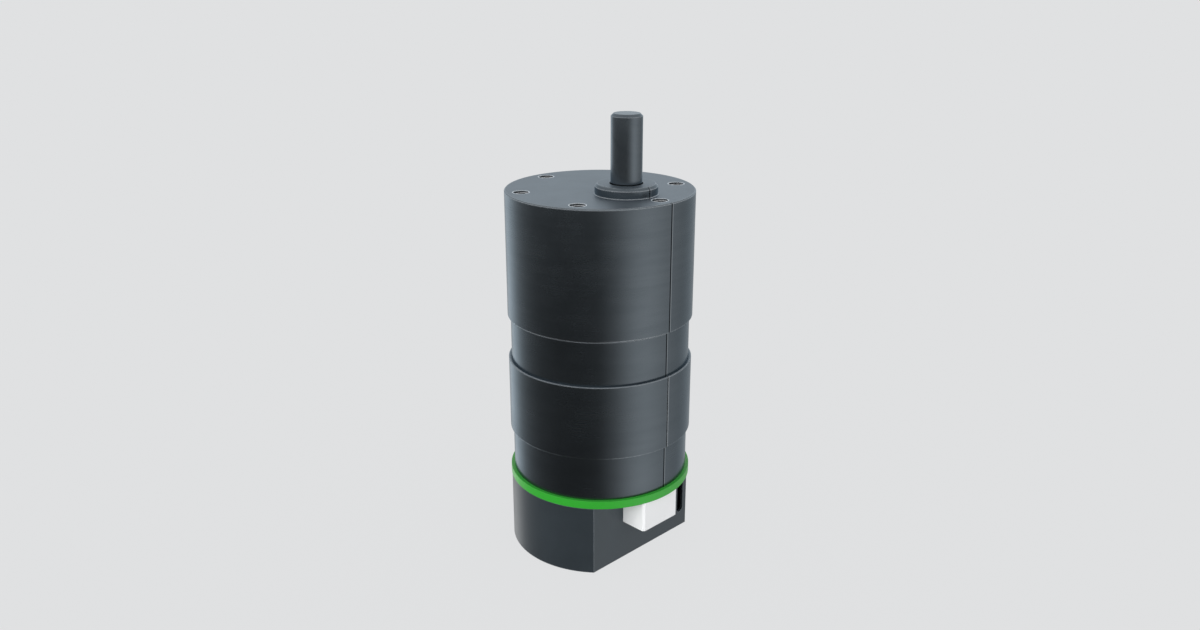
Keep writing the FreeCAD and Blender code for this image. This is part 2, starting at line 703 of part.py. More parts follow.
# Motor can: drawn from sheet steel, with a hump in front for the bush.
can = new_piece("motor_can")
revolve(can, "can_turn", [
    ("motor_shaft_radius + hump_mouth_play", "hump_top"),
    ("hump_radius", "hump_top"),
    ("hump_radius", "can_front"),
    ("can_radius - can_edge", "can_front"),
    ("can_radius", "can_front - can_edge"),
    ("can_radius", "can_rear"),
    ("can_inner", "can_rear"),
    ("can_inner", "can_front - can_wall"),
    ("hump_radius - can_wall", "can_front - can_wall"),
    ("hump_radius - can_wall", "hump_top - can_wall"),
    ("motor_shaft_radius + hump_mouth_play", "hump_top - can_wall"),
])
can_holes = new_sketch(can, "can_holes", height="can_front - can_wall - " + BEYOND)
for side in ("1", "-1"):
    draw_circle(can_holes, side + " * screw_x", side + " * screw_y", "motor_screw_radius + press_gap")
pocket(can, "can_holes", can_holes, "can_wall + 2 * " + BEYOND)

# Flux ring: a steel band rolled round the can, butted in line with the output shaft.
flux_ring = new_piece("flux_ring")
revolve(flux_ring, "band", [
    ("can_radius + press_gap", "can_front - ring_setback"),
    ("can_radius + press_gap + ring_thickness - ring_edge", "can_front - ring_setback"),
    ("can_radius + press_gap + ring_thickness", "can_front - ring_setback - ring_edge"),
    ("can_radius + press_gap + ring_thickness", "can_front - ring_setback - ring_length + ring_edge"),
    ("can_radius + press_gap + ring_thickness - ring_edge", "can_front - ring_setback - ring_length"),
    ("can_radius + press_gap", "can_front - ring_setback - ring_length"),
])
seam = new_sketch(flux_ring, "seam", height="can_front - ring_setback - ring_length - " + BEYOND)
draw_box(seam, "can_inner", "can_radius + ring_thickness + " + BEYOND, "-ring_seam / 2", "ring_seam / 2")
pocket(flux_ring, "seam", seam, "ring_length + 2 * " + BEYOND)

# Field magnets, held apart and against the can by two spring clips.
for name, azimuth in (("magnet_1", "magnet_azimuth"), ("magnet_2", "magnet_azimuth + 180")):
    magnet = new_piece(name, turned=azimuth)
    revolve(magnet, name + "_arc", [
        ("core_radius + air_gap", "magnet_front - magnet_length"),
        ("can_inner - press_gap", "magnet_front - magnet_length"),
        ("can_inner - press_gap", "magnet_front"),
        ("core_radius + air_gap", "magnet_front"),
    ], angle="2 * magnet_half_angle")
clips = new_piece("magnet_clips", turned="magnet_azimuth + 90")
clip = revolve(clips, "clip", [
    ("can_inner - press_gap - clip_reach", "clip_front - clip_length"),
    ("can_inner - press_gap", "clip_front - clip_length"),
    ("can_inner - press_gap", "clip_front"),
    ("can_inner - press_gap - clip_reach", "clip_front"),
], angle="178.8 - 2 * magnet_half_angle")
clip_mouth = revolve(clips, "clip_mouth", [
    ("can_inner - clip_reach - " + BEYOND, "clip_front - clip_length - " + BEYOND),
    ("can_inner - press_gap - clip_thickness", "clip_front - clip_length - " + BEYOND),
    ("can_inner - press_gap - clip_thickness", "clip_front + " + BEYOND),
    ("can_inner - clip_reach - " + BEYOND, "clip_front + " + BEYOND),
], angle="176 - 2 * magnet_half_angle", cutting=True)
repeat(clips, "clip_pair", [clip, clip_mouth], "2", grows=True)

# Bearings, shaft and sleeves of the rotor.
sleeve("front_motor_bush", "motor_shaft_radius + running_play", "motor_bush_radius",
       "front_bush_bottom", "front_bush_top")
sleeve("rear_motor_bush", "motor_shaft_radius + running_play", "motor_bush_radius",
       "rear_bush_bottom", "rear_bush_top")
rotor_shaft = new_piece("rotor_shaft")
rod = new_sketch(rotor_shaft, "rod", height="rotor_tail")
draw_circle(rod, "0", "0", "motor_shaft_radius")
pad(rotor_shaft, "rod", rod, "motor_pinion_top - rotor_tail")
spacer_bore = "motor_shaft_radius + press_gap"
sleeve("rotor_front_spacer", spacer_bore, spacer_bore + " + spacer_wall",
       "core_front", "front_bush_bottom - 2 * end_play")
sleeve("rotor_rear_spacer", spacer_bore, spacer_bore + " + spacer_wall",
       "commutator_front", "core_rear")

# Armature: a stack of laminations with T-shaped poles, and a coil round each pole.
core = new_piece("armature_core")
stack = new_sketch(core, "stack", height="core_rear")
draw_circle(stack, "0", "0", "core_radius")
draw_circle(stack, "0", "0", "motor_shaft_radius + press_gap")
pad(core, "stack", stack, "core_length")
pole_side = "(({0}) * sin(pole_pitch) - pole_half_width) / cos(pole_pitch)"
slot_turn = "slot_shoulder * cos(pole_pitch * 0.8)"
slot = new_sketch(core, "slot", height="core_rear - " + BEYOND)
upper = [
    ("slot_root", pole_side.format("slot_root")),
    (slot_turn, pole_side.format(slot_turn)),
    ("slot_shoulder", "slot_half_width"),
    ("core_radius + " + BEYOND, "slot_half_width"),
]
draw_outline(slot, upper + [(x, "-(" + y + ")") for x, y in reversed(upper)])
one_slot = pocket(core, "slot", slot, "core_length + 2 * " + BEYOND)
repeat(core, "slots", [one_slot], "pole_count", grows=False)

windings = new_piece("armature_windings", turned="pole_pitch")
coil = new_sketch(windings, "coil", height="core_rear - coil_overhang")
coil_inner = "core_hub_radius + 4 * coil_gap"
coil_wide = "slot_shoulder * cos(pole_pitch * 0.9) - 2 * coil_gap"
coil_outer = "slot_shoulder - 4 * coil_gap"
upper = [
    (coil_inner, "({0}) * tan(pole_pitch) - coil_gap / cos(pole_pitch)".format(coil_inner)),
    (coil_wide, "({0}) * tan(pole_pitch) - 3 * coil_gap / cos(pole_pitch)".format(coil_wide)),
    (coil_outer, "pole_half_width + coil_gap"),
]
draw_outline(coil, upper + [(x, "-(" + y + ")") for x, y in reversed(upper)])
one_coil = pad(windings, "coil", coil, "core_length + 2 * coil_overhang")
window = new_sketch(windings, "window", height="core_rear - coil_gap")
draw_box(
    window, "core_hub_radius - " + BEYOND, "core_radius",
    "-pole_half_width - coil_gap", "pole_half_width + coil_gap",
)
coil_window = pocket(windings, "window", window, "core_length + 2 * coil_gap")
repeat(windings, "coils", [one_coil, coil_window], "pole_count", grows=True)

# Commutator: copper bars on a moulded hub.
hub = new_piece("commutator_hub")
revolve(hub, "hub_turn", [
    ("motor_shaft_radius + press_gap", "commutator_rear"),
    ("commutator_hub_radius", "commutator_rear"),
    ("commutator_hub_radius", "commutator_front"),
    ("motor_shaft_radius + press_gap", "commutator_front"),
])
bars = new_piece("commutator_segments")
one_bar = revolve(bars, "bar", [
    ("commutator_hub_radius + press_gap", "commutator_rear"),
    ("commutator_radius", "commutator_rear"),
    ("commutator_radius", "commutator_front"),
    ("commutator_hub_radius + press_gap", "commutator_front"),
], angle="360 / pole_count - commutator_slit_angle")
repeat(bars, "bars", [one_bar], "pole_count", grows=True)

# End cap: moulded disc with a rim inside the can, a rear bearing boss and posts for the cover's screws.
cap = new_piece("end_cap")
revolve(cap, "cap_turn", [
    ("motor_shaft_radius + hump_mouth_play", "cap_tail"),
    ("cap_boss_radius", "cap_tail"),
    ("cap_boss_radius", "can_rear"),
    ("can_inner - press_gap", "can_rear"),
    ("can_inner - press_gap", "cap_front + cap_rim_height"),
    ("can_inner - cap_rim_wall", "cap_front + cap_rim_height"),
    ("can_inner - cap_rim_wall", "cap_front"),
    ("motor_bush_radius + press_gap", "cap_front"),
    ("motor_bush_radius + press_gap", "rear_bush_bottom"),
    ("motor_shaft_radius + hump_mouth_play", "rear_bush_bottom"),
])
posts = new_sketch(cap, "posts", height="cap_front - cap_thickness / 2")
for side in ("1", "-1"):
    draw_circle(posts, "0", side + " * cover_screw_circle_radius", "cover_post_radius")
pad(cap, "posts", posts, "cap_thickness / 2 + cap_rim_height")
rests = new_sketch(cap, "holder_rests", height="cap_front - cap_thickness / 2")
for side in ("1", "-1"):
    draw_box(rests, side + " * holder_start", side + " * holder_end", "-holder_half", "holder_half")
pad(cap, "holder_rests", rests, "holder_bottom - cap_front + cap_thickness / 2")
cap_holes = new_sketch(cap, "cap_holes", height="can_rear - " + BEYOND)
for side in ("1", "-1"):
    draw_circle(cap_holes, "0", side + " * cover_screw_circle_radius", "cover_screw_radius + press_gap")
    draw_box(
        cap_holes,
        side + " * (holder_end - holder_wall - slip_gap)",
        side + " * (holder_end + slip_gap)",
        "-terminal_width / 2 - slip_gap",
        "terminal_width / 2 + slip_gap",
    )
pocket(cap, "cap_holes", cap_holes, "cap_thickness + cap_rim_height + 2 * " + BEYOND)

# Carbon brushes, their folded springs and the brass boxes that end in the motor's terminals.
for number, azimuth in (("1", "0"), ("2", "180")):
    brush = new_piece("brush_" + number, turned=azimuth)
    block = new_sketch(brush, "block_" + number, height="brush_middle - brush_height / 2")
    draw_box(block, "brush_start - " + BEYOND, "brush_back", "-brush_width / 2", "brush_width / 2")
    pad(brush, "block_" + number, block, "brush_height")
    bow = new_sketch(brush, "bow_" + number, height="brush_middle - brush_height")
    draw_circle(bow, "0", "0", "brush_start")
    pocket(brush, "bow_" + number, bow, "2 * brush_height")

    holder = new_piece("brush_holder_" + number, turned=azimuth)
    case = new_sketch(holder, "case_" + number, height="holder_bottom")
    draw_box(case, "holder_start", "holder_end", "-holder_half", "holder_half")
    pad(holder, "case_" + number, case, "holder_top - holder_bottom")
    channel = new_sketch(holder, "channel_" + number, height="holder_bottom + holder_wall")
    draw_box(
        channel, "holder_start - " + BEYOND, "spring_end",
        "-holder_half + holder_wall", "holder_half - holder_wall",
    )
    pocket(holder, "channel_" + number, channel, "brush_height + 2 * running_play")
    tab = new_sketch(holder, "tab_" + number, height="terminal_end")
    draw_box(tab, "spring_end", "holder_end", "-terminal_width / 2", "terminal_width / 2")
    pad(holder, "tab_" + number, tab, "holder_bottom + holder_wall - terminal_end")

    spring = new_piece("brush_spring_" + number, turned=azimuth)
    folds = new_sketch(spring, "folds_" + number, height="brush_middle - brush_height / 2 + slip_gap")
    fold_count = 4
    near, far = [], []
    for fold in range(fold_count + 1):
        place = (
            "brush_back + press_gap + "
            f"(spring_length - spring_thickness - 2 * press_gap) * {fold} / {fold_count}"
        )
        edge = "brush_width / 2 - slip_gap"
        edge = edge if fold % 2 else "-(" + edge + ")"
        near.append((place, edge))
        far.append((place + " + spring_thickness", edge))
    draw_outline(folds, near + far[::-1])
    pad(spring, "folds_" + number, folds, "brush_height - 2 * slip_gap")

# Encoder board: a full disc between the motor and the cover, wider than both.
board = new_piece("encoder_board")
disc = new_sketch(board, "board_disc", height="board_rear")
draw_circle(disc, "0", "0", "board_radius")
draw_circle(disc, "0", "0", "cap_boss_radius + slip_gap")
for side in ("1", "-1"):
    draw_circle(disc, "0", side + " * cover_screw_circle_radius", "cover_screw_radius + slip_gap")
    draw_box(
        disc,
        side + " * (holder_end - holder_wall - slip_gap)",
        side + " * (holder_end + slip_gap)",
        "-terminal_width / 2 - slip_gap",
        "terminal_width / 2 + slip_gap",
    )
pin_rows = [
    f"connector_offset + ({number} - (connector_pin_count - 1) / 2) * connector_pin_pitch"
    for number in range(int(value("connector_pin_count")))
]
for row in pin_rows:
    draw_circle(disc, "connector_middle", row, "connector_pin_hole_radius")
pad(board, "board_disc", disc, "board_thickness")

# White header under the board's overhang, with its mouth and four pins facing away from the board.
shell = new_piece("connector_housing")
block = new_sketch(shell, "shell_block", height="connector_bottom")
draw_outline(block, [
    ("connector_back", "connector_left"),
    ("connector_front - connector_corner", "connector_left"),
    ("connector_front", "connector_left + connector_corner"),
    ("connector_front", "connector_right - connector_corner"),
    ("connector_front - connector_corner", "connector_right"),
    ("connector_back", "connector_right"),
])
pad(shell, "shell_block", block, "connector_height")
mouth = new_sketch(shell, "mouth", height="connector_bottom - " + BEYOND)
draw_box(
    mouth,
    "connector_back + connector_wall",
    "connector_front - connector_wall",
    "connector_left + connector_wall",
    "connector_right - connector_wall",
)
pocket(shell, "mouth", mouth, "connector_height - connector_floor + " + BEYOND)
keys = new_sketch(shell, "key_slots", height="connector_bottom - " + BEYOND)
for side in ("1", "-1"):
    draw_box(
        keys,
        "connector_back - " + BEYOND,
        "connector_back + connector_wall + " + BEYOND,
        "connector_offset + " + side + " * connector_key_spread / 2 - connector_key_width / 2",
        "connector_offset + " + side + " * connector_key_spread / 2 + connector_key_width / 2",
    )
pocket(shell, "key_slots", keys, "connector_height - connector_floor + " + BEYOND)
seats = new_sketch(shell, "pin_seats", height="connector_bottom")
pins = new_piece("connector_pins")
pin_bars = new_sketch(pins, "pin_bars", height="board_rear - connector_floor - connector_pin_length")
for drawing, extra in ((seats, "press_gap"), (pin_bars, "0")):
    for row in pin_rows:
        half = "(connector_pin_width / 2 + " + extra + ")"
        draw_box(
            drawing, "connector_middle - " + half, "connector_middle + " + half,
            row + " - " + half, row + " + " + half,
        )
pocket(shell, "pin_seats", seats, "connector_height + " + BEYOND)
pad(pins, "pin_bars", pin_bars, "connector_pin_length + connector_floor + board_thickness - end_play")

# Hall sensors that stand on three leads beside the magnet, and the board's small parts.
sensors = new_piece("hall_sensors", turned="sensor_azimuth")
bodies = new_sketch(sensors, "sensor_bodies", height="board_rear - sensor_stand - sensor_height")
leads = new_sketch(sensors, "sensor_leads", height="board_rear - sensor_stand")
sensor_near = "encoder_magnet_radius + sensor_gap"


def draw_turned_box(sketch, left, right, low, high, azimuth):
    """Draws a box in a frame that is turned about the axis by azimuth."""
    corners = [(left, low), (right, low), (right, high), (left, high)]
    draw_outline(sketch, [
        (
            f"({x}) * cos({azimuth}) - ({y}) * sin({azimuth})",
            f"({x}) * sin({azimuth}) + ({y}) * cos({azimuth})",
        )
        for x, y in corners
    ])


for side in ("0.5", "-0.5"):
    azimuth = side + " * sensor_spread"
    far = sensor_near + " + sensor_thickness"
    draw_turned_box(bodies, sensor_near, far, "-sensor_width / 2", "sensor_width / 2", azimuth)
    for lead in ("-1", "0", "1"):
        centre = lead + " * sensor_lead_pitch"
        draw_turned_box(
            leads,
            sensor_near + " + sensor_thickness / 2 - sensor_lead_width / 2",
            sensor_near + " + sensor_thickness / 2 + sensor_lead_width / 2",
            centre + " - sensor_lead_width / 2",
            centre + " + sensor_lead_width / 2",
            azimuth,
        )
pad(sensors, "sensor_bodies", bodies, "sensor_height")
pad(sensors, "sensor_leads", leads, "sensor_stand")
chips = new_piece("board_components", turned="sensor_azimuth")
chip_boxes = new_sketch(chips, "chip_boxes", height="board_rear - chip_height")
for number in range(int(value("chip_count"))):
    draw_turned_box(
        chip_boxes,
        "chip_circle_radius - chip_width / 2",
        "chip_circle_radius + chip_width / 2",
        "-chip_length / 2",
        "chip_length / 2",
        f"({number} - (chip_count - 1) / 2) * chip_spread",
    )
pad(chips, "chip_boxes", chip_boxes, "chip_height")

# Encoder magnet on a flanged hub at the tail of the rotor shaft.
sleeve("encoder_magnet", "hub_radius + press_gap", "encoder_magnet_radius", "magnet_bottom", "magnet_top")
magnet_hub = new_piece("magnet_hub")
revolve(magnet_hub, "magnet_hub_turn", [
    ("motor_shaft_radius + press_gap", "rotor_tail"),
    ("hub_radius + magnet_hub_wall", "rotor_tail"),
    ("hub_radius + magnet_hub_wall", "magnet_bottom"),
    ("hub_radius", "magnet_bottom"),
    ("hub_radius", "magnet_top"),
    ("motor_shaft_radius + press_gap", "magnet_top"),
])

# Cover: black moulded cup with one flat side, screw posts and a slot for the motor's leads.
cover = new_piece("encoder_cover")
outside = new_sketch(cover, "cover_outside", height="cover_bottom")
draw_flatted_circle(outside, "cover_radius", "cover_flat")
pad(cover, "cover_outside", outside, "cover_height")
inside = new_sketch(cover, "cover_inside", height="cover_floor_top")
draw_flatted_circle(inside, "cover_radius - cover_wall", "cover_flat - cover_flat_wall")
pocket(cover, "cover_inside", inside, "cover_height - cover_floor + " + BEYOND)
cover_posts = new_sketch(cover, "cover_posts", height="cover_bottom + cover_floor / 2")
for side in ("1", "-1"):
    draw_circle(cover_posts, "0", side + " * cover_screw_circle_radius", "cover_post_radius")
pad(cover, "cover_posts", cover_posts, "cover_height - cover_floor / 2")
sinks = new_sketch(cover, "cover_sinks", height="cover_bottom - " + BEYOND)
shafts = new_sketch(cover, "cover_holes", height="cover_bottom")
for side in ("1", "-1"):
    draw_circle(sinks, "0", side + " * cover_screw_circle_radius", "cover_screw_head_radius + slip_gap")
    draw_circle(shafts, "0", side + " * cover_screw_circle_radius", "cover_screw_radius + slip_gap")
pocket(cover, "cover_sinks", sinks, "cover_screw_sink + " + BEYOND)
pocket(cover, "cover_holes", shafts, "cover_height + " + BEYOND)
lead_slot = new_sketch(cover, "lead_slot", "YZ_Plane", height="cover_flat - cover_flat_wall - slip_gap")
half = "lead_slot_width / 2"
draw_box(
    lead_slot, "lead_slot_offset - " + half, "lead_slot_offset + " + half,
    "slot_low", "board_rear + " + BEYOND,
)
pocket(cover, "lead_slot", lead_slot, "cover_flat_wall + 2 * slip_gap")
slot_end = new_sketch(cover, "lead_slot_end", "YZ_Plane", height="cover_flat - cover_flat_wall - slip_gap")
draw_circle(slot_end, "lead_slot_offset", "slot_low", half)
pocket(cover, "lead_slot_end", slot_end, "cover_flat_wall + 2 * slip_gap")

# Screws that hold the cover and the board to the end cap.
cover_screws = new_piece("cover_screws")
shanks = new_sketch(cover_screws, "cover_shanks", height="screw_seat")
heads = new_sketch(cover_screws, "cover_heads", height="screw_seat - cover_screw_head_height")
slots = new_sketch(cover_screws, "cover_slots", height="screw_seat - cover_screw_head_height - " + BEYOND)
for side in ("1", "-1"):
    centre = side + " * cover_screw_circle_radius"
    draw_circle(shanks, "0", centre, "cover_screw_radius")
    draw_circle(heads, "0", centre, "cover_screw_head_radius")
    reach = "(cover_screw_head_radius + slip_gap)"
    draw_box(
        slots, "-" + reach, reach,
        centre + " - screw_slot_width / 2", centre + " + screw_slot_width / 2",
    )
pad(cover_screws, "cover_shanks", shanks, "screw_tip - screw_seat")
pad(cover_screws, "cover_heads", heads, "cover_screw_head_height")
pocket(cover_screws, "cover_slots", slots, "screw_slot_depth + " + BEYOND)

# Every object must be sound before anything is written.
doc.recompute()
for item in doc.Objects:
    if {"Invalid", "Error"} & set(item.State):
        raise RuntimeError(f"{item.Label} failed: {item.State}")
for piece in pieces:
    if piece.Shape.isNull() or not piece.Shape.isValid() or not piece.Shape.Solids:
        raise RuntimeError(f"{piece.Label} isn't a valid solid")

os.makedirs("parts", exist_ok=True)
for piece in pieces:
    piece.Shape.exportStep(f"parts/{piece.Label}.step")
print(len(pieces), "pieces,", sum(len(piece.Shape.Solids) for piece in pieces), "solids")
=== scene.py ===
import math

import bmesh
import bpy
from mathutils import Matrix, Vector


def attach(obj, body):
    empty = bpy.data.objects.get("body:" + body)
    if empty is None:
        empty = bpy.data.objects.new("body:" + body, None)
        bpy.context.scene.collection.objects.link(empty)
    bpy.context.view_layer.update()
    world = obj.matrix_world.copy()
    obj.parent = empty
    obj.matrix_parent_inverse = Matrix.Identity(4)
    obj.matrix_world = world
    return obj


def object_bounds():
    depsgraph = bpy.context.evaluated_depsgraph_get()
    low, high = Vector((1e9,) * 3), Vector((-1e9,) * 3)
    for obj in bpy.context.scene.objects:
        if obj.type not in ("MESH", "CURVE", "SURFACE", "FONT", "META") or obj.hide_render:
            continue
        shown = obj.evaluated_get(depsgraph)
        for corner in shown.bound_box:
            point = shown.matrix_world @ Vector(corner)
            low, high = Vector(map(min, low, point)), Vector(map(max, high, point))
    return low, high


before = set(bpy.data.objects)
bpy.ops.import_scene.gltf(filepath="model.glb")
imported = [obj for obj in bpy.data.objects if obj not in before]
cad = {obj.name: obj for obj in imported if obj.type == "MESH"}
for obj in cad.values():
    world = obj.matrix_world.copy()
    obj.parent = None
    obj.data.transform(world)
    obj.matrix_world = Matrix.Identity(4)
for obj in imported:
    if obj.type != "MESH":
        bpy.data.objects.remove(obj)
cad_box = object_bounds()

# Gearbox cup
# Zinc cup, pressure die-cast and lightly turned, with a dark nickel finish.
# Its ends are faced in the lathe, which leaves them less glossy than the side. Their paler colour
# is painted light, picked by the way they face.
# The side keeps one fine parting line, in line with the output shaft, drawn with painted shade
# in its groove and a painted highlight on its lip.


def feed(tree, socket, term):
    """Links a socket to another one, or sets it to a plain value."""
    if isinstance(term, bpy.types.NodeSocket):
        tree.links.new(term, socket)
    else:
        socket.default_value = term


def effect_group(name, inputs, outputs):
    """Starts a shader group and gives it with the sockets that it reads and fills."""
    group = bpy.data.node_groups.new(name, "ShaderNodeTree")
    for label, preset in inputs:
        socket = group.interface.new_socket(label, in_out="INPUT", socket_type="NodeSocketFloat")
        socket.default_value = preset
    for label, kind in outputs:
        group.interface.new_socket(label, in_out="OUTPUT", socket_type="NodeSocket" + kind)
    return group, group.nodes.new("NodeGroupInput").outputs, group.nodes.new("NodeGroupOutput").inputs


def sum_node(tree, operation, *terms, clamp=False):
    """Adds a Math node. Each term is a number or a socket."""
    made = tree.nodes.new("ShaderNodeMath")
    made.operation = operation
    made.use_clamp = clamp
    for socket, term in zip(made.inputs, terms):
        feed(tree, socket, term)
    return made.outputs[0]


def ramp_node(tree, source, low, high, out_low=0.0, out_high=1.0):
    """Adds a smooth Map Range node. Each limit is a number or a socket."""
    made = tree.nodes.new("ShaderNodeMapRange")
    made.interpolation_type = "SMOOTHSTEP"
    terms = {"Value": source, "From Min": low, "From Max": high, "To Min": out_low, "To Max": out_high}
    for label, term in terms.items():
        feed(tree, made.inputs[label], term)
    return made.outputs["Result"]


def noise_node(tree, place, scale, detail=3.0):
    """Adds a Noise node that is read at place."""
    made = tree.nodes.new("ShaderNodeTexNoise")
    made.inputs["Scale"].default_value = scale
    made.inputs["Detail"].default_value = detail
    made.inputs["Roughness"].default_value = 0.55
    tree.links.new(place, made.inputs["Vector"])
    return made.outputs["Fac"]


def vector_node(tree, *terms):
    """Joins three numbers or sockets into a vector."""
    made = tree.nodes.new("ShaderNodeCombineXYZ")
    for socket, term in zip(made.inputs, terms):
        feed(tree, socket, term)
    return made.outputs[0]


def length_node(tree, across, along):
    """Gives the length of a step that goes across and along at right angles."""
    squares = [sum_node(tree, "POWER", side, 2.0) for side in (across, along)]
    return sum_node(tree, "SQRT", sum_node(tree, "ADD", *squares))


def object_place(tree):
    """Gives the point on the piece, whole and as x, y and z, in metres."""
    place = tree.nodes.new("ShaderNodeTexCoord").outputs["Object"]
    split = tree.nodes.new("ShaderNodeSeparateXYZ")
    tree.links.new(place, split.inputs[0])
    return place, split.outputs


def normal_parts(tree):
    """Gives the way that the surface faces, as x, y and z."""
    split = tree.nodes.new("ShaderNodeSeparateXYZ")
    tree.links.new(tree.nodes.new("ShaderNodeNewGeometry").outputs["Normal"], split.inputs[0])
    return split.outputs


# Lathe marks: fine rings about the motor's long axis, on ends and sides alike.
MM_PER_M = 1000.0

turned, enter, leave = effect_group(
    "Lathe marks",
    [("Rings per mm", 9.0)],
    [("Height", "Float"), ("Streaks", "Float"), ("Patches", "Float"), ("Faced and painted light", "Float")],
)
whole, point = object_place(turned)
travel = sum_node(turned, "ADD", length_node(turned, point[0], point[1]), point[2])
rings = sum_node(turned, "MULTIPLY", sum_node(turned, "MULTIPLY", travel, MM_PER_M), enter["Rings per mm"])
swing = sum_node(turned, "ARCTAN2", point[1], point[0])
fine = vector_node(turned, rings, sum_node(turned, "MULTIPLY", swing, 0.4), 0.0)
broad = vector_node(turned, sum_node(turned, "MULTIPLY", rings, 0.06),
                    sum_node(turned, "MULTIPLY", swing, 0.9), 3.0)
upright = sum_node(turned, "ABSOLUTE", normal_parts(turned)[2])
turned.links.new(noise_node(turned, fine, 1.0, 4.0), leave["Height"])
turned.links.new(noise_node(turned, broad, 1.0), leave["Streaks"])
turned.links.new(noise_node(turned, whole, 140.0, 4.0), leave["Patches"])
# Faces that point along the axis: duller, and painted paler as light.
turned.links.new(ramp_node(turned, upright, 0.9, 0.99), leave["Faced and painted light"])

# Painted edge highlights: where the surface turns sharply the colour is painted a little brighter,
# as a highlight, broken up in patches.
painted_edge_group, enter, leave = effect_group(
    "Painted edge highlights",
    [("Width", 0.00018), ("Breakup", 0.5)],
    [("Painted highlight", "Float"), ("Normal", "Vector")],
)
rounding = painted_edge_group.nodes.new("ShaderNodeBevel")
rounding.samples = 6
painted_edge_group.links.new(enter["Width"], rounding.inputs["Radius"])
agreement = painted_edge_group.nodes.new("ShaderNodeVectorMath")
agreement.operation = "DOT_PRODUCT"
painted_edge_group.links.new(rounding.outputs["Normal"], agreement.inputs[0])
painted_edge_group.links.new(painted_edge_group.nodes.new("ShaderNodeNewGeometry").outputs["Normal"], agreement.inputs[1])
turn = ramp_node(painted_edge_group, agreement.outputs["Value"], 0.995, 0.93)
whole, _ = object_place(painted_edge_group)
highlight_gaps = sum_node(painted_edge_group, "MULTIPLY", noise_node(painted_edge_group, whole, 900.0, 4.0), enter["Breakup"])
edge_highlight = sum_node(painted_edge_group, "MULTIPLY", turn, sum_node(painted_edge_group, "SUBTRACT", 1.0, highlight_gaps), clamp=True)
painted_edge_group.links.new(edge_highlight, leave["Painted highlight"])
painted_edge_group.links.new(rounding.outputs["Normal"], leave["Normal"])

# Hole rims: a painted highlight, a bright ring round each hole of a circle of holes.
HOLE_COUNT = 6
HOLE_CIRCLE = 0.0155
HOLE_RADIUS = 0.0015
RIM_WIDTH = 0.0002

painted_rim_group, enter, leave = effect_group(
    "Painted hole rim highlights",
    [("Hole circle", HOLE_CIRCLE), ("Hole radius", HOLE_RADIUS), ("Rim", RIM_WIDTH)],
    [("Rim highlight", "Float")],
)
_, point = object_place(painted_rim_group)
hole_step = 2 * math.pi / HOLE_COUNT
steps = sum_node(painted_rim_group, "DIVIDE", sum_node(painted_rim_group, "ARCTAN2", point[1], point[0]), hole_step)
from_nearest = sum_node(painted_rim_group, "SUBTRACT", steps, sum_node(painted_rim_group, "ROUND", steps))
swing = sum_node(painted_rim_group, "MULTIPLY", from_nearest, hole_step)
reach = length_node(painted_rim_group, point[0], point[1])
along = sum_node(painted_rim_group, "MULTIPLY", reach, sum_node(painted_rim_group, "COSINE", swing))
outward = sum_node(painted_rim_group, "SUBTRACT", along, enter["Hole circle"])
sideways = sum_node(painted_rim_group, "MULTIPLY", reach, sum_node(painted_rim_group, "SINE", swing))
past = sum_node(painted_rim_group, "SUBTRACT", length_node(painted_rim_group, outward, sideways), enter["Hole radius"])
ring = ramp_node(painted_rim_group, past, sum_node(painted_rim_group, "MULTIPLY", enter["Rim"], 0.8), enter["Rim"], 1.0, 0.0)
on_front = ramp_node(painted_rim_group, normal_parts(painted_rim_group)[2], 0.6, 0.8)
painted_rim_group.links.new(sum_node(painted_rim_group, "MULTIPLY", ring, on_front), leave["Rim highlight"])

# Parting line: a hair-fine line down the side that faces +X, painted dark as shade in its groove,
# with a painted highlight on a lip three half widths to one side of it.
PARTING_HALF_WIDTH = 0.0001
PARTING_SHADE = (0.002, 0.002, 0.003)

parting, enter, leave = effect_group(
    "Parting line",
    [("Half width", PARTING_HALF_WIDTH)],
    [("Groove", "Float"), ("Lip highlight", "Float")],
)
_, point = object_place(parting)
on_side = sum_node(parting, "MULTIPLY", ramp_node(parting, normal_parts(parting)[0], 0.6, 0.8),
                   ramp_node(parting, point[0], 0.002, 0.004))
away = sum_node(parting, "ABSOLUTE", point[1])
groove_edge = sum_node(parting, "MULTIPLY", enter["Half width"], 1.8)
groove = ramp_node(parting, away, enter["Half width"], groove_edge, 1.0, 0.0)
lip_shift = sum_node(parting, "MULTIPLY", enter["Half width"], -3.0)
lip_place = sum_node(parting, "ABSOLUTE", sum_node(parting, "ADD", point[1], lip_shift))
lip_edge = sum_node(parting, "MULTIPLY", enter["Half width"], 1.6)
lip_highlight = ramp_node(parting, lip_place, 0.0, lip_edge, 1.0, 0.0)
parting.links.new(sum_node(parting, "MULTIPLY", groove, on_side), leave["Groove"])
parting.links.new(sum_node(parting, "MULTIPLY", lip_highlight, on_side), leave["Lip highlight"])


def place_group(tree, group, **presets):
    """Places an effect in a material with its own values."""
    made = tree.nodes.new("ShaderNodeGroup")
    made.node_tree = group
    for label, preset in presets.items():
        made.inputs[label.replace("_", " ")].default_value = preset
    return made.outputs


def mix_colours(tree, share, base, over):
    """Mixes two colours by a share. Each colour is a tuple or a socket."""
    made = tree.nodes.new("ShaderNodeMix")
    made.data_type = "RGBA"
    tree.links.new(share, made.inputs["Factor"])
    # A Mix node's colours are its inputs 6 and 7 and its output 2.
    for place, colour in ((6, base), (7, over)):
        feed(tree, made.inputs[place], (*colour, 1.0) if isinstance(colour, tuple) else colour)
    return made.outputs[2]


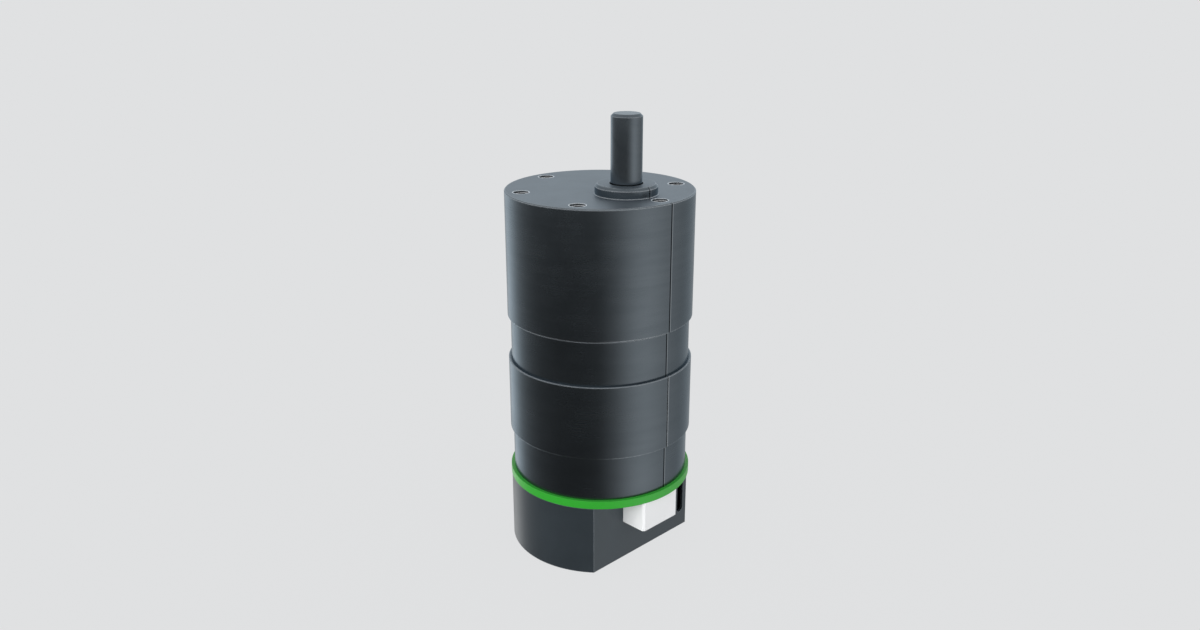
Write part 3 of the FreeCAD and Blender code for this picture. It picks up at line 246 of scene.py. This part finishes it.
def new_finish(name, metallic, specular=0.5):
    """Starts a material and gives it with its tree and its Principled shader."""
    finish = bpy.data.materials.new(name)
    finish.use_nodes = True
    shader = finish.node_tree.nodes["Principled BSDF"]
    shader.inputs["Metallic"].default_value = metallic
    shader.inputs["Specular IOR Level"].default_value = specular
    return finish, finish.node_tree, shader


def relief(tree, shader, height, depth, under=None):
    """Raises the surface by height, up to depth in metres, over the normal under."""
    bump = tree.nodes.new("ShaderNodeBump")
    bump.inputs["Strength"].default_value = 1.0
    bump.inputs["Distance"].default_value = depth
    tree.links.new(height, bump.inputs["Height"])
    if under is not None:
        tree.links.new(under, bump.inputs["Normal"])
    tree.links.new(bump.outputs["Normal"], shader.inputs["Normal"])


def dress(finish, *names):
    """Gives a finish to CAD nodes."""
    for name in names:
        cad[name].data.materials.clear()
        cad[name].data.materials.append(finish)


FACED_DULLNESS = 0.2
DARK_SHEEN = (0.84, 0.93, 1.0)
PLAIN_SHEEN = (1.0, 1.0, 1.0)


def turned_metal(name, dark, light, highlight_colour, rough, metallic=1.0, rings=9.0, depth=2e-6, edge=0.00018,
                 sheen=PLAIN_SHEEN, seam=False, faced_painted_light=None, rim_highlight=None):
    """Makes a lathe-turned metal with ring marks, patchy gloss and painted edge highlights.

    Its streaks run from dark to light, and its sharp edges are painted brighter as a highlight.
    depth is that of the marks and edge is how wide the painted highlight is, in metres. It may
    have a parting line, painted as shade in a groove with a highlight on its lip, a paler colour
    painted as light on its faced ends, and painted highlights on hole rims.
    """
    finish, tree, shader = new_finish(name, metallic)
    shader.inputs["Specular Tint"].default_value = (*sheen, 1.0)
    marks = place_group(tree, turned, Rings_per_mm=rings)
    edges = place_group(tree, painted_edge_group, Width=edge)
    colour = mix_colours(tree, ramp_node(tree, marks["Streaks"], 0.3, 0.7), dark, light)
    # Faced ends are painted paler, as light, by the way they face.
    if faced_painted_light is not None:
        colour = mix_colours(tree, marks["Faced and painted light"], colour, faced_painted_light)
    # Sharp edges are painted brighter, as a highlight.
    colour = mix_colours(tree, edges["Painted highlight"], colour, highlight_colour)
    # The parting line: painted shade in its groove and a painted highlight on its lip.
    if seam:
        line = place_group(tree, parting)
        colour = mix_colours(tree, sum_node(tree, "MULTIPLY", line["Lip highlight"], 0.5), colour, highlight_colour)
        colour = mix_colours(tree, line["Groove"], colour, PARTING_SHADE)
    # Hole rims are painted bright, as a highlight.
    if rim_highlight is not None:
        colour = mix_colours(tree, place_group(tree, painted_rim_group)["Rim highlight"], colour, rim_highlight)
    tree.links.new(colour, shader.inputs["Base Color"])
    gloss = ramp_node(tree, marks["Patches"], 0.25, 0.75, rough - 0.03, rough + 0.03)
    streaked = sum_node(tree, "ADD", gloss, ramp_node(tree, marks["Height"], 0.2, 0.8, -0.01, 0.02))
    if faced_painted_light is not None:
        streaked = sum_node(tree, "MULTIPLY_ADD", marks["Faced and painted light"], FACED_DULLNESS, streaked)
    tree.links.new(streaked, shader.inputs["Roughness"])
    relief(tree, shader, marks["Height"], depth, edges["Normal"])
    return finish


housing_finish = turned_metal(
    "cast_housing", (0.112, 0.132, 0.148), (0.126, 0.147, 0.164), (0.50, 0.53, 0.56), rough=0.25,
    depth=3e-7, edge=0.0003, sheen=DARK_SHEEN, seam=True,
    faced_painted_light=(0.240, 0.268, 0.294), rim_highlight=(0.84, 0.87, 0.90),
)
dress(housing_finish, "gearbox_housing")

# Tapped threads
# Six M3 threads in the front face, cut with a tap after casting.
# Each is a fine spiral ridge on the wall of its hole, bright where the tap has cut.
HOLE_DEPTH = 0.0038
THREAD_PITCH = 0.0005
THREAD_HEIGHT = 0.00022
THREAD_START = 0.00025
STEPS_PER_TURN = 28
SMOOTH_ANGLE = 35

# Half the ridge's width at root and crest, as shares of the pitch, and its least height,
# as a share of the full one.
ROOT_SHARE = 0.18
CREST_SHARE = 0.03
LEAST_HEIGHT = 0.05


def cut_thread(form, x, y):
    """Winds a ridge with a narrow crest down one hole's wall. Its first and last turns taper."""
    rows = []
    steps = int((HOLE_DEPTH - THREAD_PITCH) / THREAD_PITCH) * STEPS_PER_TURN
    for step in range(steps + 1):
        angle = 2 * math.pi * step / STEPS_PER_TURN
        height = -THREAD_START - THREAD_PITCH * step / STEPS_PER_TURN
        taper = min(1.0, step / STEPS_PER_TURN, (steps - step) / STEPS_PER_TURN)
        crest = HOLE_RADIUS - THREAD_HEIGHT * max(taper, LEAST_HEIGHT)
        section = ((HOLE_RADIUS, ROOT_SHARE), (crest, CREST_SHARE),
                   (crest, -CREST_SHARE), (HOLE_RADIUS, -ROOT_SHARE))
        rows.append([
            form.verts.new((x + reach * math.cos(angle), y + reach * math.sin(angle),
                            height + share * THREAD_PITCH))
            for reach, share in section
        ])
    for upper, lower in zip(rows, rows[1:]):
        for side in range(len(upper)):
            other = (side + 1) % len(upper)
            form.faces.new((upper[side], upper[other], lower[other], lower[side]))
    form.faces.new(rows[0][::-1])
    form.faces.new(rows[-1])


def mesh_piece(name, form, body, finish, smooth_angle):
    """Turns a bmesh into a piece that rides on a body, smooth below an angle in degrees."""
    bmesh.ops.recalc_face_normals(form, faces=form.faces)
    mesh = bpy.data.meshes.new(name)
    form.to_mesh(mesh)
    form.free()
    piece = bpy.data.objects.new(name, mesh)
    bpy.context.scene.collection.objects.link(piece)
    mesh.materials.append(finish)
    mesh.shade_smooth()
    mesh.set_sharp_from_angle(angle=math.radians(smooth_angle))
    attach(piece, body)


thread_finish = turned_metal(
    "tapped_thread", (0.66, 0.68, 0.70), (0.76, 0.78, 0.80), (0.84, 0.85, 0.86), rough=0.45, metallic=0.4,
)
threads = bmesh.new()
for number in range(HOLE_COUNT):
    around = math.radians(360 * number / HOLE_COUNT)
    cut_thread(threads, HOLE_CIRCLE * math.cos(around), HOLE_CIRCLE * math.sin(around))
mesh_piece("tapped_threads", threads, "case", thread_finish, SMOOTH_ANGLE)

# Output shaft and its bushes
# Carbon steel, centreless ground and blackened, with a milled flat for the hub.
# Oil-soaked sintered bushes carry it in the boss and in the rear plate.
# The rotor's shaft and bushes, the fixed pins and their sleeves are made alike.
shaft_finish = turned_metal(
    "ground_steel", (0.115, 0.135, 0.152), (0.132, 0.153, 0.170), (0.50, 0.52, 0.55), rough=0.22,
    rings=14.0, depth=3e-7, sheen=DARK_SHEEN,
)
dress(shaft_finish, "output_shaft", "output_spacer", "lay_pin_1", "lay_pin_2", "rotor_shaft")
bush_finish = turned_metal(
    "bronze", (0.20, 0.11, 0.05), (0.32, 0.19, 0.09), (0.62, 0.44, 0.24), rough=0.48,
    metallic=0.9, rings=6.0, depth=4e-6,
)
dress(bush_finish, "output_front_bush", "output_rear_bush", "front_motor_bush", "rear_motor_bush",
      "first_pin_spacer", "second_pin_front_spacer", "second_pin_rear_spacer")

# Gear train
# Steel gears with hobbed teeth, run in oil: the three clusters turn on fixed pins
# and the last wheel is pressed on the output shaft.
gear_finish = turned_metal(
    "gear_steel", (0.22, 0.22, 0.23), (0.34, 0.34, 0.35), (0.6, 0.6, 0.6), rough=0.3, rings=7.0,
)
dress(gear_finish, "motor_pinion", "first_gear", "second_gear", "third_gear", "output_wheel")

# Sheet metal parts
# Blanked from strip: the rear plate, washers and magnet clips of steel, the brush boxes of
# brass and the connector's tinned pins. The strip's rolling grain runs one way.
# The magnet's turned brass hub shares the brass finish.
STRIP_EDGE = 0.00012

strip, enter, leave = effect_group(
    "Rolled strip",
    [("Grain per mm", 6.0)],
    [("Height", "Float"), ("Patches", "Float")],
)
whole, point = object_place(strip)
across = sum_node(strip, "MULTIPLY", sum_node(strip, "MULTIPLY", point[1], MM_PER_M), enter["Grain per mm"])
grain = vector_node(strip, sum_node(strip, "MULTIPLY", point[0], 60.0), across, point[2])
strip.links.new(noise_node(strip, grain, 1.0, 5.0), leave["Height"])
strip.links.new(noise_node(strip, whole, 220.0), leave["Patches"])


def sheet_metal(name, dark, light, highlight_colour, rough):
    """Makes rolled sheet metal with a one-way grain and painted highlights on its edges."""
    finish, tree, shader = new_finish(name, 1.0)
    grain = place_group(tree, strip)
    edges = place_group(tree, painted_edge_group, Width=STRIP_EDGE)
    colour = mix_colours(tree, grain["Patches"], dark, light)
    # Sharp edges are painted brighter, as a highlight.
    colour = mix_colours(tree, sum_node(tree, "MULTIPLY", edges["Painted highlight"], 0.6), colour, highlight_colour)
    tree.links.new(colour, shader.inputs["Base Color"])
    gloss = ramp_node(tree, grain["Height"], 0.2, 0.8, rough - 0.06, rough + 0.06)
    tree.links.new(gloss, shader.inputs["Roughness"])
    relief(tree, shader, grain["Height"], 2e-6, edges["Normal"])
    return finish


plate_finish = sheet_metal("blanked_steel", (0.26, 0.27, 0.28), (0.36, 0.37, 0.38), (0.6, 0.61, 0.62), 0.34)
dress(plate_finish, "gearbox_rear_plate", "output_washer", "pin_washers", "magnet_clips")
brass_finish = sheet_metal("brass_sheet", (0.50, 0.36, 0.14), (0.66, 0.50, 0.22), (0.86, 0.72, 0.42), 0.3)
dress(brass_finish, "brush_holder_1", "brush_holder_2", "magnet_hub")
tin_finish = sheet_metal("pin_tin", (0.55, 0.55, 0.56), (0.68, 0.68, 0.69), (0.82, 0.82, 0.83), 0.28)
dress(tin_finish, "connector_pins")

# Screws and springs
# Zinc-plated steel screws, headed and rolled, each with a saw-cut slot: two hold the
# motor to the rear plate, and two hold the cover and the board to the end cap.
# The folded springs behind the brushes are plated too.
screw_finish = turned_metal(
    "screw_steel", (0.10, 0.11, 0.12), (0.17, 0.18, 0.19), (0.5, 0.51, 0.52), rough=0.35,
    metallic=0.95, rings=5.0, edge=0.0001,
)
dress(screw_finish, "motor_screws", "cover_screws", "brush_spring_1", "brush_spring_2")

# Motor can and flux ring
# Deep-drawn steel can with a hard dark plating, and a band of thicker strip
# rolled round it to carry the field, butted at the side of the output shaft.
# Both draw a line down the side that faces +X: painted shade in a groove and a painted highlight on a lip.
can_finish = turned_metal(
    "plated_steel", (0.112, 0.132, 0.148), (0.124, 0.145, 0.162), (0.48, 0.51, 0.54), rough=0.24,
    rings=5.0, depth=3e-7, edge=0.0003, sheen=DARK_SHEEN, seam=True,
)
dress(can_finish, "motor_can", "flux_ring")

# Magnets
# Ground ferrite arcs, held against the can by two clips, and a moulded ring at the tail
# for the encoder. They are dark, dull and faintly grainy.
ferrite_finish, tree, shader = new_finish("ferrite", 0.0, 0.4)
whole, _ = object_place(tree)
grit = noise_node(tree, whole, 2600.0, 5.0)
tree.links.new(mix_colours(tree, grit, (0.018, 0.018, 0.020), (0.040, 0.040, 0.044)),
               shader.inputs["Base Color"])
tree.links.new(ramp_node(tree, grit, 0.2, 0.8, 0.45, 0.65), shader.inputs["Roughness"])
relief(tree, shader, grit, 6e-6)
dress(ferrite_finish, "magnet_1", "magnet_2", "encoder_magnet")

# Armature
# A stack of varnished laminations with a coil of enamelled wire round each pole, and
# copper bars on a moulded hub. The stack and the hub are pressed on the rotor's shaft.
LAMINATION = 0.0005
WIRE_PITCH = 0.0004
WIRE_WOBBLE = 0.0003


def wave_node(tree, place, pitch):
    """Swings from -1 to 1 and back over each pitch, in metres."""
    return sum_node(tree, "SINE", sum_node(tree, "MULTIPLY", place, 2 * math.pi / pitch))


core_finish, tree, shader = new_finish("lamination", 0.9)
_, point = object_place(tree)
sheets = wave_node(tree, point[2], LAMINATION)
cut = ramp_node(tree, sheets, -0.9, -0.4)
tree.links.new(mix_colours(tree, cut, (0.05, 0.04, 0.035), (0.26, 0.25, 0.24)), shader.inputs["Base Color"])
tree.links.new(ramp_node(tree, sheets, -0.9, 0.2, 0.7, 0.35), shader.inputs["Roughness"])
relief(tree, shader, sheets, 3e-5)
dress(core_finish, "armature_core")

wire_finish, tree, shader = new_finish("copper", 0.9)
shader.inputs["Coat Weight"].default_value = 0.6
shader.inputs["Coat Roughness"].default_value = 0.15
whole, point = object_place(tree)
wobble = sum_node(tree, "MULTIPLY", noise_node(tree, whole, 300.0), WIRE_WOBBLE)
reach = length_node(tree, point[0], point[1])
strands = wave_node(tree, sum_node(tree, "ADD", reach, wobble), WIRE_PITCH)
# The valleys between the turns are painted dark, as shade.
painted_crown_shading = ramp_node(tree, strands, -1.0, 0.4)
tree.links.new(mix_colours(tree, painted_crown_shading, (0.16, 0.04, 0.012), (0.70, 0.27, 0.11)), shader.inputs["Base Color"])
tree.links.new(ramp_node(tree, strands, -1.0, 1.0, 0.55, 0.25), shader.inputs["Roughness"])
relief(tree, shader, strands, 8e-5)
dress(wire_finish, "armature_windings")

bar_finish = turned_metal(
    "bare_copper", (0.42, 0.17, 0.08), (0.60, 0.28, 0.15), (0.80, 0.48, 0.32), rough=0.3, rings=12.0,
)
dress(bar_finish, "commutator_segments")

# Moulded parts
# Glass-filled nylon: the end cap, hub and spacers inside, and the encoder's cover outside.
# The mould leaves a fine even spark texture, and the corners are painted paler, as a highlight.
# The brushes are pressed carbon, and the sensors are moulded round their chips.
moulded, enter, leave = effect_group(
    "Spark texture",
    [("Grain size", 5200.0)],
    [("Height", "Float"), ("Patches", "Float")],
)
whole, _ = object_place(moulded)
pits = moulded.nodes.new("ShaderNodeTexVoronoi")
pits.feature = "SMOOTH_F1"
pits.inputs["Smoothness"].default_value = 0.7
moulded.links.new(whole, pits.inputs["Vector"])
moulded.links.new(enter["Grain size"], pits.inputs["Scale"])
moulded.links.new(pits.outputs["Distance"], leave["Height"])
moulded.links.new(noise_node(moulded, whole, 90.0, 4.0), leave["Patches"])


def moulding(name, dark, light, highlight_colour, rough, depth=6e-6, specular=0.5, edge=0.00015, highlight_share=0.5,
             sheen=PLAIN_SHEEN):
    """Makes a moulded plastic with a spark-eroded skin, whose corners are painted brighter by a share, as a
    highlight.
    """
    finish, tree, shader = new_finish(name, 0.0, specular)
    shader.inputs["Specular Tint"].default_value = (*sheen, 1.0)
    skin = place_group(tree, moulded)
    edges = place_group(tree, painted_edge_group, Width=edge)
    colour = mix_colours(tree, ramp_node(tree, skin["Patches"], 0.3, 0.7), dark, light)
    # Corners are painted brighter, as a highlight.
    colour = mix_colours(tree, sum_node(tree, "MULTIPLY", edges["Painted highlight"], highlight_share), colour, highlight_colour)
    tree.links.new(colour, shader.inputs["Base Color"])
    gloss = ramp_node(tree, skin["Patches"], 0.25, 0.75, rough - 0.05, rough + 0.06)
    tree.links.new(gloss, shader.inputs["Roughness"])
    relief(tree, shader, skin["Height"], depth, edges["Normal"])
    return finish


inner_finish = moulding(
    "moulded_dark", (0.020, 0.020, 0.023), (0.028, 0.028, 0.031), (0.06, 0.06, 0.065), rough=0.42,
)
dress(inner_finish, "end_cap", "commutator_hub", "rotor_front_spacer", "rotor_rear_spacer", "hall_sensors")
carbon_finish = moulding(
    "carbon", (0.012, 0.012, 0.012), (0.022, 0.022, 0.022), (0.08, 0.08, 0.08), rough=0.5,
)
dress(carbon_finish, "brush_1", "brush_2")
cover_finish = moulding(
    "moulded_black", (0.023, 0.029, 0.034), (0.027, 0.034, 0.040), (0.20, 0.22, 0.24), rough=0.34,
    depth=1e-6, specular=0.7, edge=0.00028, highlight_share=0.8, sheen=(0.78, 0.91, 1.0),
)
dress(cover_finish, "encoder_cover")

# Encoder board
# Glass-epoxy board, coated all over with green solder mask. The weave of the glass and
# the board's fine layers show faintly through the green.
# Its small resistors and capacitors are fired ceramic.
BOARD_LAYER = 0.0002
BOARD_EDGE = 0.0001

board_finish, tree, shader = new_finish("board_green", 0.0)
shader.inputs["Coat Weight"].default_value = 0.25
shader.inputs["Coat Roughness"].default_value = 0.2
whole, point = object_place(tree)
layers = wave_node(tree, point[2], BOARD_LAYER)
fibres = noise_node(tree, whole, 1500.0, 4.0)
weave = sum_node(tree, "MULTIPLY", ramp_node(tree, layers, -1.0, 1.0), fibres)
edges = place_group(tree, painted_edge_group, Width=BOARD_EDGE)
mask = mix_colours(tree, weave, (0.020, 0.325, 0.018), (0.027, 0.353, 0.025))
# The board's edges are painted a paler green, as a highlight.
tree.links.new(mix_colours(tree, sum_node(tree, "MULTIPLY", edges["Painted highlight"], 0.4), mask, (0.12, 0.46, 0.11)),
               shader.inputs["Base Color"])
tree.links.new(ramp_node(tree, fibres, 0.2, 0.8, 0.38, 0.5), shader.inputs["Roughness"])
relief(tree, shader, weave, 5e-6, edges["Normal"])
dress(board_finish, "encoder_board")

chip_finish = moulding(
    "ceramic_parts", (0.09, 0.075, 0.06), (0.16, 0.13, 0.11), (0.3, 0.3, 0.3), rough=0.45,
)
dress(chip_finish, "board_components")

# Connector
# White nylon header, moulded with bevelled outer corners.
# It is soldered under the board's overhang by its four pins.
connector_finish = moulding(
    "connector_white", (0.86, 0.865, 0.87), (0.89, 0.895, 0.90), (0.92, 0.925, 0.93), rough=0.38,
    depth=2e-6, edge=0.0001,
)
dress(connector_finish, "connector_housing")

# Studio
# The motor stands on its cover on a plain pale floor that runs far back, clear when seen from below.
# Two soft boxes fill its shadows, and the camera keeps the photograph's angle.
BACKDROP = (0.745, 0.752, 0.760)
STANDING = cad_box[0][2]
FLOOR_REACH = 20.0
FLOOR_GAP = 0.00002

# The floor mostly glows, at the level that makes it as bright as the backdrop.
GLOW_SHARE = 0.94
GLOW_LEVEL = 1.025
AIR_LIGHT = 0.8


def background_rays(tree):
    """Marks the camera's own rays, and then those with what gloss and glass pass on."""
    paths = tree.nodes.new("ShaderNodeLightPath").outputs
    passed_on = sum_node(tree, "ADD", paths["Is Glossy Ray"], paths["Is Transmission Ray"])
    return paths["Is Camera Ray"], sum_node(tree, "ADD", paths["Is Camera Ray"], passed_on, clamp=True)


def mix_shaders(tree, share, base, over):
    """Mixes two shaders by a share."""
    made = tree.nodes.new("ShaderNodeMixShader")
    for socket, source in zip(made.inputs, (share, base, over)):
        tree.links.new(source, socket)
    return made.outputs[0]


def studio_piece(name, form, height, finish):
    """Turns a bmesh into a piece of the studio that lies level at a height."""
    mesh = bpy.data.meshes.new(name)
    form.to_mesh(mesh)
    form.free()
    mesh.materials.append(finish)
    piece = bpy.data.objects.new(name, mesh)
    piece.location = (0.0, 0.0, height)
    bpy.context.scene.collection.objects.link(piece)
    return piece


backdrop_finish, tree, shader = new_finish("studio_floor", 0.0, 0.1)
shader.inputs["Roughness"].default_value = 0.9
shader.inputs["Base Color"].default_value = (*BACKDROP, 1.0)
glow = tree.nodes.new("ShaderNodeEmission")
glow.inputs["Color"].default_value = (*BACKDROP, 1.0)
glow.inputs["Strength"].default_value = GLOW_LEVEL
from_camera, seen = background_rays(tree)
pale = mix_shaders(tree, sum_node(tree, "MULTIPLY", seen, GLOW_SHARE), shader.outputs[0], glow.outputs[0])
back = tree.nodes.new("ShaderNodeNewGeometry").outputs["Backfacing"]
clear = tree.nodes.new("ShaderNodeBsdfTransparent")
surface = mix_shaders(tree, sum_node(tree, "MULTIPLY", back, from_camera), pale, clear.outputs[0])
tree.links.new(surface, tree.nodes["Material Output"].inputs["Surface"])

floor_mesh = bmesh.new()
bmesh.ops.create_grid(floor_mesh, x_segments=8, y_segments=8, size=FLOOR_REACH)
floor = studio_piece("studio_floor", floor_mesh, STANDING - FLOOR_GAP, backdrop_finish)
floor.visible_glossy = False

world = bpy.data.worlds.new("studio_air")
world.use_nodes = True
tree = world.node_tree
_, seen = background_rays(tree)
background = tree.nodes["Background"]
background.inputs["Color"].default_value = (*BACKDROP, 1.0)
tree.links.new(ramp_node(tree, seen, 0.0, 1.0, AIR_LIGHT, 1.0), background.inputs["Strength"])
bpy.context.scene.world = world

# The soft boxes reach down past the floor, so they leave it out and draw no line across it.
# Nothing mirrors them: the card under the floor is there for that.
BOX_SIZE = 0.6
BOX_DISTANCE = 0.6
BOX_TARGET = Vector((0.0, 0.0, -0.03))
unlit = bpy.data.collections.new("out_of_soft_boxes")
unlit.objects.link(floor)
unlit.collection_objects[0].light_linking.link_state = "EXCLUDE"


def soft_box(name, azimuth, elevation, power):
    """Hangs a soft box that faces the motor from an azimuth about +Z, in degrees."""
    lamp = bpy.data.lights.new(name, "AREA")
    lamp.shape = "SQUARE"
    lamp.size = BOX_SIZE
    lamp.energy = power
    holder = bpy.data.objects.new(name, lamp)
    around, up = math.radians(azimuth), math.radians(elevation)
    reach = Vector((math.cos(around) * math.cos(up), math.sin(around) * math.cos(up), math.sin(up)))
    holder.location = BOX_TARGET + BOX_DISTANCE * reach
    holder.rotation_euler = (-reach).to_track_quat("-Z", "Y").to_euler()
    holder.visible_camera = False
    holder.visible_glossy = False
    holder.light_linking.receiver_collection = unlit
    bpy.context.scene.collection.objects.link(holder)


soft_box("left_fill", 265, 10, 4.2)
soft_box("right_fill", 0, 15, 1.8)

# A round card under the floor, lit unevenly round the motor, for the dark metal to mirror.
# Only gloss sees it, and gloss passes through the floor. Each level stands by its azimuth
# about +Z in degrees, and the closing level is the one at 180 degrees.
CARD_RADIUS = 3.0
CARD_DROP = 0.25
CARD_LEVELS = (
    (-175, 0.98), (-160, 0.50), (-144, 0.27), (-126, 0.15), (-97, 0.09), (-70, 0.08), (-45, 0.10),
    (-26, 0.33), (-13, 0.64), (0, 0.92), (14, 1.02), (29, 0.88), (44, 0.72), (74, 0.46),
    (111, 0.48), (136, 0.50), (152, 0.50), (168, 1.15),
)
CLOSING_LEVEL = 1.05

sweep_finish = bpy.data.materials.new("light_sweep")
sweep_finish.use_nodes = True
tree = sweep_finish.node_tree
tree.nodes.remove(tree.nodes["Principled BSDF"])
_, point = object_place(tree)
swing = sum_node(tree, "ARCTAN2", point[1], point[0])
fall = tree.nodes.new("ShaderNodeValToRGB")
for azimuth, level in CARD_LEVELS:
    stop = fall.color_ramp.elements.new((azimuth + 180.0) / 360.0)
    stop.color = (level, level, level, 1.0)
for end in (0, -1):
    fall.color_ramp.elements[end].color = (CLOSING_LEVEL, CLOSING_LEVEL, CLOSING_LEVEL, 1.0)
tree.links.new(sum_node(tree, "MULTIPLY_ADD", swing, 0.5 / math.pi, 0.5), fall.inputs[0])
glow = tree.nodes.new("ShaderNodeEmission")
tree.links.new(fall.outputs["Color"], glow.inputs["Color"])
tree.links.new(glow.outputs[0], tree.nodes["Material Output"].inputs["Surface"])

sweep_mesh = bmesh.new()
bmesh.ops.create_circle(sweep_mesh, cap_ends=True, segments=96, radius=CARD_RADIUS)
sweep = studio_piece("light_sweep", sweep_mesh, STANDING - CARD_DROP, sweep_finish)
sweep.visible_camera = False
sweep.visible_diffuse = False
sweep.visible_transmission = False
sweep.visible_shadow = False
sweep.visible_volume_scatter = False

# The camera stands where a fit to the circles in the photograph puts it.
CAMERA_PLACE = Vector((0.13718, -0.13718, 0.040855))
CAMERA_PITCH = math.radians(-19.0073)
CAMERA_HEADING = math.radians(45.0)
camera_data = bpy.data.cameras.new("camera")
camera_data.sensor_width = 36.0
camera_data.lens = 30.575
camera_data.clip_start = 0.005
camera = bpy.data.objects.new("camera", camera_data)
camera.location = CAMERA_PLACE
camera.rotation_euler = (math.pi / 2 + CAMERA_PITCH, 0.0, CAMERA_HEADING)
bpy.context.scene.collection.objects.link(camera)
bpy.context.scene.camera = camera
bpy.context.scene.view_settings.view_transform = "Standard"
